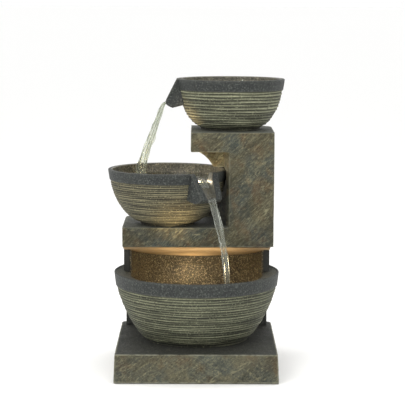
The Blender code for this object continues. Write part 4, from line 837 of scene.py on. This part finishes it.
def bowlHollow(plan, top):
    floor = plan["base"] + bowlWall
    inner = plan["rim"] - bowlWall
    radius, height, _ = sideRows(plan["foot"] - footInset, inner, floor, top - 0.004, plan["curve"], 0.004)
    rows = [(0, floor, 2), (plan["foot"] - footFlat, floor, 2)] + [(r, z, 2) for r, z in zip(radius, height)]
    rows += roundRows(inner + innerRound, top - innerRound, -innerRound, innerRound, (0, 30, 60, 90), 2)
    rows += [(inner + 0.0022, top + 0.02, 2), (0, top + 0.02, 2)]
    return rows


spoutShape = {
    "reach": 0.023, "drop": 0.046, "depth": 0.060, "channelDepth": 0.020, "channelHalf": 0.011, "flare": 0.5,
    "lip": 0.009, "breakIn": 0.008, "grain": 0.0016, "uneven": 0.00035,
}


def spoutMatrix(plan):
    return Matrix.Translation((*plan["centre"], 0)) @ Matrix.Rotation(plan["spout"], 4, "Z")


def loftMesh(name, rings, material):
    count = len(rings[0])
    faces = [tuple(reversed(range(count))), tuple(range((len(rings) - 1) * count, len(rings) * count))]
    faces += ringFaces(len(rings), count)
    mesh = meshFrom(name, [p for ring in rings for p in ring], faces, [material] * len(faces))
    facesOutwards(mesh)
    return mesh


# the spout's body, softened like a cast edge and a little uneven
def spoutBody(plan, top):
    rim, s = plan["rim"] - 0.0008, spoutShape
    outline = [
        (rim * 0.6, top), (rim, top), (rim + s["reach"], top - s["drop"]),
        (rim + s["reach"] - 0.001, top - s["drop"] - 0.007),
        (rim + s["reach"] - 0.007, top - s["depth"] + 0.003), (rim + s["reach"] - 0.015, top - s["depth"]),
        (rim, top - s["depth"] + 0.002), (rim * 0.6, top - s["depth"] + 0.014),
    ]
    narrowing = (plan["spoutHalf"] - plan["spoutTipHalf"]) / s["reach"]
    halves = [plan["spoutHalf"] - max(0.0, out - rim) * narrowing for out, _ in outline]
    rings = [[(out, side * half, z) for (out, z), half in zip(outline, halves)] for side in (1, -1)]
    mesh = evenFaces("spout rough", loftMesh("spout rough", rings, 1), s["grain"])
    points = pointsOf(mesh)
    for _ in range(2):
        points = 0.5 * points + 0.5 * neighbourMean(mesh, points)
    movePoints(mesh, points)
    points += normalsOf(mesh) * (s["uneven"] * roughLumps(points, 0.004, 2, 4) - 0.0002)[:, None]
    movePoints(mesh, points)
    mesh.transform(spoutMatrix(plan))
    mesh.polygons.foreach_set("material_index", np.ones(len(mesh.polygons), np.int32))
    return mesh


# the channel's floor is level up to a break inside the rim, then slopes to the lip: (out, height) of both
def channelFloor(plan):
    s, top = spoutShape, plan["base"] + plan["height"]
    lip = plan["rim"] + s["reach"], top - s["depth"] + s["lip"]
    return lip, (plan["rim"] - s["breakIn"], top - s["channelDepth"])


def spoutChannel(plan, top):
    rim, s = plan["rim"], spoutShape
    (lipOut, lipZ), (breakOut, breakZ) = channelFloor(plan)
    slope = (breakZ - lipZ) / (lipOut - breakOut)
    rings = []
    for out, floor in ((rim - 0.030, breakZ), (breakOut, breakZ), (lipOut + 0.014, lipZ - slope * 0.014)):
        rise = top + 0.010 - floor
        flare = s["flare"] * (0.45 if out > rim else 1.0)
        low, wide = s["channelHalf"], s["channelHalf"] + flare * rise
        ring = [(out, -low, floor), (out, low, floor)]
        rings.append(ring + [(out, wide, floor + rise), (out, -wide, floor + rise)])
    mesh = loftMesh("channel", rings, 3)
    mesh.transform(spoutMatrix(plan))
    return mesh


# cuts and joins in turn, then marks the bowl and puts it in its node's place
def finishBowl(key, rows, shape, sideRun, tools, inner):
    plan = bowlPlans[key]
    kinds = [ribMaterials[key], bandMaterial, *inner]
    turned = turnedMesh(key + " bowl", rows, plan["sides"], plan["centre"], shape)
    bowl = looseObject(key + " bowl", turned, kinds)
    for mesh, operation in tools:
        cutOrJoin(bowl, looseObject("tool", mesh, kinds), operation)
    mesh = bowl.data
    bpy.data.objects.remove(bowl)
    markBowl(mesh, plan, sideRun)
    softenByAngle(mesh, 40)
    piece = addPiece(key + "_bowl_stone", mesh, [])
    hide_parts(key + "_bowl")
    print("bowl:", key, len(mesh.polygons))


def makeSpoutedBowl(key):
    plan = bowlPlans[key]
    top = plan["base"] + plan["height"]
    rows, shape, sideRun = bowlOutside(plan)
    tools = [
        (spoutBody(plan, top - 0.0006), "UNION"),
        (turnedMesh("hollow", bowlHollow(plan, top), 180, plan["centre"]), "DIFFERENCE"),
        (spoutChannel(plan, top), "DIFFERENCE"),
    ]
    finishBowl(key, rows + [(0, top, 1)], shape, sideRun, tools, [insideMaterial, channelMaterial])


basin = {
    "inner": 0.137, "ledgeDrop": 0.009, "floor": 0.014, "floorRadius": 0.088,
    "back": 0.1577, "lip": 0.0012,
}


def makeLowerBowl():
    plan = bowlPlans["lower"]
    top = plan["base"] + plan["height"]
    rows, shape, sideRun = bowlOutside(plan)
    ledgeZ, floorZ, lip = top - basin["ledgeDrop"], plan["base"] + basin["floor"], basin["lip"]
    outer = plan["rim"] - 0.005
    rows += [(outer + lip, top, 1), (outer + 0.0004, top - 0.0004, 1), (outer, top - lip, 1)]
    for k in range(1, 12):
        share = k / 12
        rows.append((outer + (basin["inner"] - outer) * share, top - lip + (ledgeZ - top + lip) * share, 2))
    rows += [(basin["inner"] + 0.001, ledgeZ + 0.0001, 2), (basin["inner"] + 0.0002, ledgeZ - 0.0008, 3)]
    radius, height, _ = sideRows(basin["floorRadius"], basin["inner"], floorZ, ledgeZ - 0.002, 1.3, 0.0035)
    rows += [(r, z, 3) for r, z in zip(radius[::-1], height[::-1])]
    rows += [(0.04, floorZ, 3), (0, floorZ, 3)]
    behind = [[(-1, basin["back"], z), (1, basin["back"], z), (1, 1, z), (-1, 1, z)] for z in (0, 1)]
    tools = [(loftMesh("behind", behind, 1), "DIFFERENCE")]
    finishBowl("lower", rows, shape, sideRun, tools, [ledgeMaterial, wetGlowMaterial])


makeLowerBowl()
makeSpoutedBowl("middle")
makeSpoutedBowl("upper")


# the rough wall that the lamp lights, behind the lower bowl
wall = {
    "inner": 0.1373, "outer": 0.1417, "front": 0.015, "foot": 0.1941, "columns": 190, "rows": 34,
    "ceiling": 0.2567, "ceilingSlope": 0.265, "ceilingFront": 0.035, "gap": 0.0006,
    "grain": 0.0045, "bump": 0.0016,
}


def makeWall():
    reach = np.arccos(wall["front"] / wall["inner"])
    turns = np.linspace(pi / 2 - reach, pi / 2 + reach, wall["columns"])
    points = []
    for radius in (wall["inner"], wall["outer"]):
        for turn in turns:
            x, y = radius * cos(turn), radius * sin(turn)
            ceiling = wall["ceiling"] - wall["ceilingSlope"] * (y + wall["ceilingFront"]) - wall["gap"]
            for share in np.linspace(0, 1, wall["rows"]):
                points.append((x, y, wall["foot"] + (ceiling - wall["foot"]) * share))
    points = np.array(points)
    half = len(points) // 2
    bumps = 0.5 + 0.5 * roughLumps(points[:half], wall["grain"], 3, 2)
    points[:half, :2] *= (1 + wall["bump"] * bumps / wall["inner"])[:, None]
    n, m = wall["columns"], wall["rows"]
    faces = []
    for i in range(n - 1):
        for j in range(m - 1):
            a, b, c, d = i * m + j, (i + 1) * m + j, (i + 1) * m + j + 1, i * m + j + 1
            faces += [(a, b, c, d), (half + d, half + c, half + b, half + a)]
    for i in range(n - 1):
        for j in (0, m - 1):
            a, b = i * m + j, (i + 1) * m + j
            faces.append((a, b, half + b, half + a))
    for j in range(m - 1):
        for i in (0, n - 1):
            a, b = i * m + j, i * m + j + 1
            faces.append((a, b, half + b, half + a))
    mesh = meshFrom("splash wall", points, faces)
    facesOutwards(mesh)
    softenByAngle(mesh, 50)
    setValues(mesh, "edge", np.zeros(len(mesh.vertices)))
    piece = addPiece("splash_wall_stone", mesh, [wetGlowMaterial])
    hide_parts("splash_liner")


makeWall()
print("stone pieces done")


# water: smoothness, the stretch of its streaks, and how much light it lets through
def makeWater(name, smooth, streaks, clear):
    material, tree, shader, place = startMaterial(name)
    noise = noiseOf(tree, stretch(tree, place, (1.0, 1.0, streaks)), 160.0, 3.0, 0.5, 0.8)
    give(tree, shader, {
        "Base Color": tint(tree, between(tree, noise, 0.5, 0.75), paint(222, 226, 214), paint(246, 247, 240)),
        "Roughness": between(tree, noise, 0.35, 0.75, smooth, smooth + 0.16),
        "Transmission Weight": clear,
        "IOR": 1.333,
        "Normal": bumpFrom(tree, noise, 0.35, 0.0012),
    })
    return material


fallingWater = makeWater("falling water", 0.06, 0.18, 0.92)
stillWater = makeWater("pool water", 0.02, 1.0, 1.0)

pools = {
    "upper_pool": {"bowl": "upper", "radius": 0.1030, "level": 0.5835, "landing": (0.095, 0.065)},
    "middle_pool": {"bowl": "middle", "radius": 0.1145, "level": 0.3945, "landing": (-0.1182, 0.060)},
    "basin_pool": {"bowl": "lower", "radius": 0.1248, "level": 0.1450, "landing": (0.064, -0.0985)},
}
ripples = {"height": 0.0011, "length": 0.0019, "reach": 0.03, "lumpHeight": 0.0005, "lumpSize": 0.016}
poolRings, poolSides, poolThick = 46, 160, 0.003


# a closed slab with rings of ripples round the point where water lands
def makePool(name, plan):
    radius, level, landing = plan["radius"], plan["level"], plan["landing"]
    centre = bowlPlans[plan["bowl"]]["centre"]
    rows = [(0, level - poolThick, 0), (radius, level - poolThick, 0)]
    rows += [(radius * (1 - k / poolRings), level, 0) for k in range(poolRings)] + [(0, level, 0)]

    def shape(allRadius, allHeight, angles):
        x, y = allRadius * np.cos(angles) + centre[0], allRadius * np.sin(angles) + centre[1]
        away = np.hypot(x - landing[0], y - landing[1])
        spots = np.stack([x.ravel(), y.ravel(), np.zeros(x.size)], axis=1)
        rise = ripples["height"] * np.sin(away / ripples["length"]) * np.exp(-away / ripples["reach"])
        rise += ripples["lumpHeight"] * roughLumps(spots, ripples["lumpSize"], 2, 6).reshape(x.shape)
        rise[0] = 0
        return allRadius, allHeight + rise * (1 - allRadius / radius) ** 0.3

    mesh = turnedMesh(name, rows, poolSides, centre, shape)
    softenByAngle(mesh, 50)
    addPiece(name, mesh, [stillWater])


# smooth line through the points, at even steps
def smoothLine(points, count):
    given = np.array(points, float)
    padded = np.vstack([2 * given[0] - given[1], given, 2 * given[-1] - given[-2]])
    line = []
    for t in np.linspace(0, len(given) - 1.0001, count):
        i, u = int(t), t - int(t)
        a, b, c, d = padded[i : i + 4]
        curve = 2 * b + (c - a) * u + (2 * a - 5 * b + 4 * c - d) * u * u
        line.append(0.5 * (curve + (3 * b - a - 3 * c + d) * u**3))
    return np.array(line)


# one strand of falling water; size gives its half width and half thickness along the way
def strandMesh(name, line, sideways, sizes, seed):
    sides, count = 14, len(line)
    rng = np.random.default_rng(seed)
    ahead = np.gradient(line, axis=0)
    ahead /= np.linalg.norm(ahead, axis=1, keepdims=True)
    rings = []
    phase = rng.uniform(0, 2 * pi, 4)
    for i in range(count):
        side = np.array(sideways) - ahead[i] * np.dot(sideways, ahead[i])
        side /= np.linalg.norm(side)
        other = np.cross(ahead[i], side)
        share = i / (count - 1)
        halfWide, halfThick = sizes(share)
        lump = 1 + 0.16 * sin(share * 19 + phase[0]) + 0.1 * sin(share * 41 + phase[1])
        sway = 0.22 * halfWide * sin(share * 8 + phase[2])
        ring = []
        for j in range(sides):
            turn = 2 * pi * j / sides
            fold = 1 + 0.2 * sin(3 * turn + share * 11 + phase[3])
            outwards = side * (halfWide * lump * fold * cos(turn) + sway)
            ring.append(tuple(line[i] + outwards + other * halfThick * lump * fold * sin(turn)))
        rings.append(ring)
    return loftMesh(name, rings, 0)


# each strand is (offset across the fall, half width at the top and at the foot, half thickness)
falls = {
    "upper_fall": {
        "route": [
            (-0.0655, 0.065, 0.5518), (-0.0720, 0.065, 0.5440), (-0.0790, 0.065, 0.5250),
            (-0.0880, 0.064, 0.5030), (-0.0975, 0.063, 0.4790), (-0.1063, 0.062, 0.4552),
            (-0.1130, 0.061, 0.4300), (-0.1172, 0.060, 0.4030), (-0.1182, 0.060, 0.3925),
        ],
        "sideways": (0.86, 0.50, 0.0),
        "strands": [
            (0.0, 0.0022, 0.0120, 0.0007), (-0.95, 0.0012, 0.0022, 0.0015),
            (1.0, 0.0011, 0.0020, 0.0014), (0.2, 0.0010, 0.0018, 0.0012),
        ],
        "seed": 5, "spread": 0.0095, "opening": (0.10, 1.0),
    },
    "lower_fall": {
        "route": [
            (0.0285, -0.0865, 0.3650), (0.0312, -0.0890, 0.3620), (0.0345, -0.0910, 0.3500),
            (0.0430, -0.0935, 0.3180), (0.0510, -0.0955, 0.2830), (0.0570, -0.0970, 0.2500),
            (0.0620, -0.0980, 0.2001), (0.0640, -0.0985, 0.1440),
        ],
        "sideways": (0.90, 0.43, 0.0),
        "strands": [
            (-0.62, 0.0017, 0.0020, 0.0013), (0.62, 0.0016, 0.0022, 0.0014), (0.05, 0.0034, 0.0030, 0.0005),
        ],
        "seed": 9, "spread": 0.0085, "opening": (1.5, 0.85),
    },
}


def makeFall(name, plan):
    line = smoothLine(plan["route"], 70)
    share = np.linspace(0, 1, len(line))[:, None]
    start, end = plan["opening"]
    bm = bmesh.new()
    for k, (offset, thin, wide, thick) in enumerate(plan["strands"]):

        def sizes(along, thin=thin, wide=wide, thick=thick):
            return thin + (wide - thin) * along**0.8, thick * (1 - 0.3 * along)

        aside = np.array(plan["sideways"]) * offset * plan["spread"] * (start + (end - start) * share**0.7)
        moved = line + aside + np.array([0, 0, -0.0004 * k])
        bm.from_mesh(strandMesh(name, moved, plan["sideways"], sizes, plan["seed"] + k))
    whole = bpy.data.meshes.new(name)
    bm.to_mesh(whole)
    bm.free()
    softenByAngle(whole, 60)
    addPiece(name, whole, [fallingWater])


# water lying in a spout's channel, from the pool to the lip
def makeChannelSheet(key, reach):
    plan, rim = bowlPlans[key], bowlPlans[key]["rim"]
    (lipOut, lipZ), (breakOut, breakZ) = channelFloor(plan)
    onSlope = breakZ + (lipZ - breakZ) * 14 / 31
    route = [(rim - 0.034, 0, breakZ + 0.0024), (breakOut, 0, breakZ + 0.0020)]
    route += [(rim + 0.006, 0, onSlope + 0.0016), (lipOut - 0.001, 0, lipZ + 0.0012)]
    line = smoothLine(route, 30)
    rings = []
    for i, point in enumerate(line[: int(reach * len(line))]):
        share = i / (len(line) - 1)
        half = spoutShape["channelHalf"] + 0.0006 - 0.004 * share
        lift = 0.0012 - 0.0004 * share
        ring = []
        for j in range(13):
            across = -1 + j / 6
            wave = 0.0004 * sin(9 * across + 14 * share) + 0.0003 * sin(17 * across - 9 * share)
            ring.append((point[0], across * half, point[2] + lift * (1 - 0.6 * across**2) + wave))
        ring += [(point[0], (1 - j / 6) * half, point[2] - 0.0014) for j in range(13)]
        rings.append(ring)
    mesh = loftMesh("sheet", rings, 0)
    mesh.transform(spoutMatrix(plan))
    softenByAngle(mesh, 60)
    addPiece(key + "_channel_water", mesh, [fallingWater])


# where water lands or rises: the place, how far the drops spread and how many there are
splashes = [
    ((-0.1182, 0.060, 0.3965), 0.006, 16), ((0.064, -0.0985, 0.147), 0.007, 12),
    ((0.0, 0.118, 0.399), 0.005, 12), ((0.095, 0.065, 0.586), 0.008, 14),
]
smallestDrop, largestDrop = 0.0006, 0.0017


# drops thrown up, each a stretched bead with its own lean
def makeDrops(name, seed):
    rng = np.random.default_rng(seed)
    bm = bmesh.new()
    for (x, y, z), spread, count in splashes:
        for _ in range(count):
            away = rng.normal(0, spread, 2)
            up = abs(rng.normal(0, spread * 0.7))
            size = rng.uniform(smallestDrop, largestDrop)
            made = bmesh.ops.create_icosphere(bm, subdivisions=2, radius=size)["verts"]
            turned = Matrix.Rotation(rng.uniform(0, 1), 4, "X")
            drawnOut = Matrix.Diagonal((1, 0.85, rng.uniform(1.1, 2.0), 1))
            spot = Matrix.Translation((x + away[0], y + away[1], z + up))
            bmesh.ops.transform(bm, matrix=spot @ (turned @ drawnOut), verts=made)
    mesh = bpy.data.meshes.new(name)
    bm.to_mesh(mesh)
    bm.free()
    smoothAll(mesh)
    addPiece(name, mesh, [fallingWater])


for name, plan in pools.items():
    makePool(name, plan)
for name, plan in falls.items():
    makeFall(name, plan)
makeChannelSheet("middle", 0.62)
makeChannelSheet("upper", 1.0)
makeDrops("landing_drops", 77)
print("water done")


# floor, light and camera
studio = {"floor": paint(254, 254, 253), "floorPale": paint(255, 255, 254), "world": 1.0}
white, amber = (1.0, 0.985, 0.96), (1.0, 0.82, 0.55)
rimAmber, footAmber = (1.0, 0.66, 0.34), (1.0, 0.72, 0.36)

# each lamp is (kind, place, aim, power, colour, size); the settings after it are the light's own
lamps = {
    "key": ("AREA", (-1.5, -2.4, 2.2), (0, 0, 0.3), 32.0, white, 1.4),
    "fill": ("AREA", (1.8, -2.2, 1.2), (0, 0, 0.3), 6.0, white, 1.6),
    "top": ("AREA", (0.0, 0.2, 2.4), (0, 0, 0.3), 16.0, white, 1.2),
    "wallGlow": ("POINT", (-0.010, 0.108, 0.182), (0, 0.13, 0.2), 0.115, amber, 0.012),
    "wallSpread": ("POINT", (-0.020, 0.060, 0.165), (0, 0.13, 0.2), 0.030, amber, 0.03),
    "middleGlow": ("POINT", (-0.020, 0.020, 0.404), (0, 0, 0.5), 0.15, amber, 0.02),
    "spoutGlow": ("POINT", (0.0050, -0.0570, 0.4040), (0.03, -0.09, 0.38), 0.035, amber, 0.004),
    "notchGlow": ("POINT", (0.030, -0.002, 0.412), (0.03, 0, 0.5), 0.08, amber, 0.012),
    "ceilingGlow": ("AREA", (0.0, -0.02, 0.200), (0.0, 0.05, 0.26), 0.10, amber, 0.17),
    "rimGlow": ("SPOT", (-0.150, -0.120, 0.42), (-0.022, 0.020, 0.520), 3.2, rimAmber, 0.02),
    "footGlow": ("SPOT", (0.02, -0.30, 0.20), (-0.045, -0.050, 0.322), 5.5, footAmber, 0.02),
}
lampSettings = {
    "ceilingGlow": {"shape": "RECTANGLE", "size_y": 0.04},
    "rimGlow": {"spot_size": radians(20), "spot_blend": 1.0},
    "footGlow": {"spot_size": radians(24), "spot_blend": 1.0},
}
notMirrored = ("wallGlow", "wallSpread", "middleGlow", "notchGlow")  # the water doesn't show these as discs


def makeFloor():
    material, tree, shader, place = startMaterial("studio floor")
    pale = tint(tree, noiseOf(tree, place, 40.0), studio["floor"], studio["floorPale"])
    give(tree, shader, {"Base Color": pale, "Roughness": 0.8})
    mesh = meshFrom("floor", [(-300, -30, 0), (300, -30, 0), (300, 600, 0), (-300, 600, 0)], [(0, 1, 2, 3)])
    looseObject("floor", mesh, [material])


def addLamp(name, kind, place, aim, power, colour, size):
    data = bpy.data.lights.new(name, kind)
    data.energy, data.color = power, colour
    setattr(data, "size" if kind == "AREA" else "shadow_soft_size", size)
    for key, value in lampSettings.get(name, {}).items():
        setattr(data, key, value)
    lamp = looseObject(name, data)
    lamp.location = place
    lamp.rotation_euler = (Vector(aim) - Vector(place)).to_track_quat("-Z", "Y").to_euler()
    lamp.visible_camera = False
    lamp.visible_glossy = name not in notMirrored


makeFloor()
world = bpy.data.worlds.new("studio")
world.use_nodes = True
world.node_tree.nodes["Background"].inputs[0].default_value = (1.0, 1.0, 1.0, 1.0)
world.node_tree.nodes["Background"].inputs[1].default_value = studio["world"]
bpy.context.scene.world = world
for name, lamp in lamps.items():
    addLamp(name, *lamp)

sight = {"place": (0.0024, -3.184, 0.7555), "pitch": 7.327, "yaw": -0.169, "roll": 0.242, "lens": 136.8}
lensData = bpy.data.cameras.new("camera")
lensData.lens, lensData.sensor_width, lensData.clip_end = sight["lens"], 36.0, 1000.0
camera = looseObject("camera", lensData)
turn = Matrix.Rotation(radians(sight["yaw"]), 4, "Z") @ Matrix.Rotation(radians(90 - sight["pitch"]), 4, "X")
roll = Matrix.Rotation(radians(sight["roll"]), 4, "Z")
camera.matrix_world = Matrix.Translation(sight["place"]) @ turn @ roll
bpy.context.scene.camera = camera
bpy.context.scene.view_settings.view_transform = "Standard"
print("studio ready")
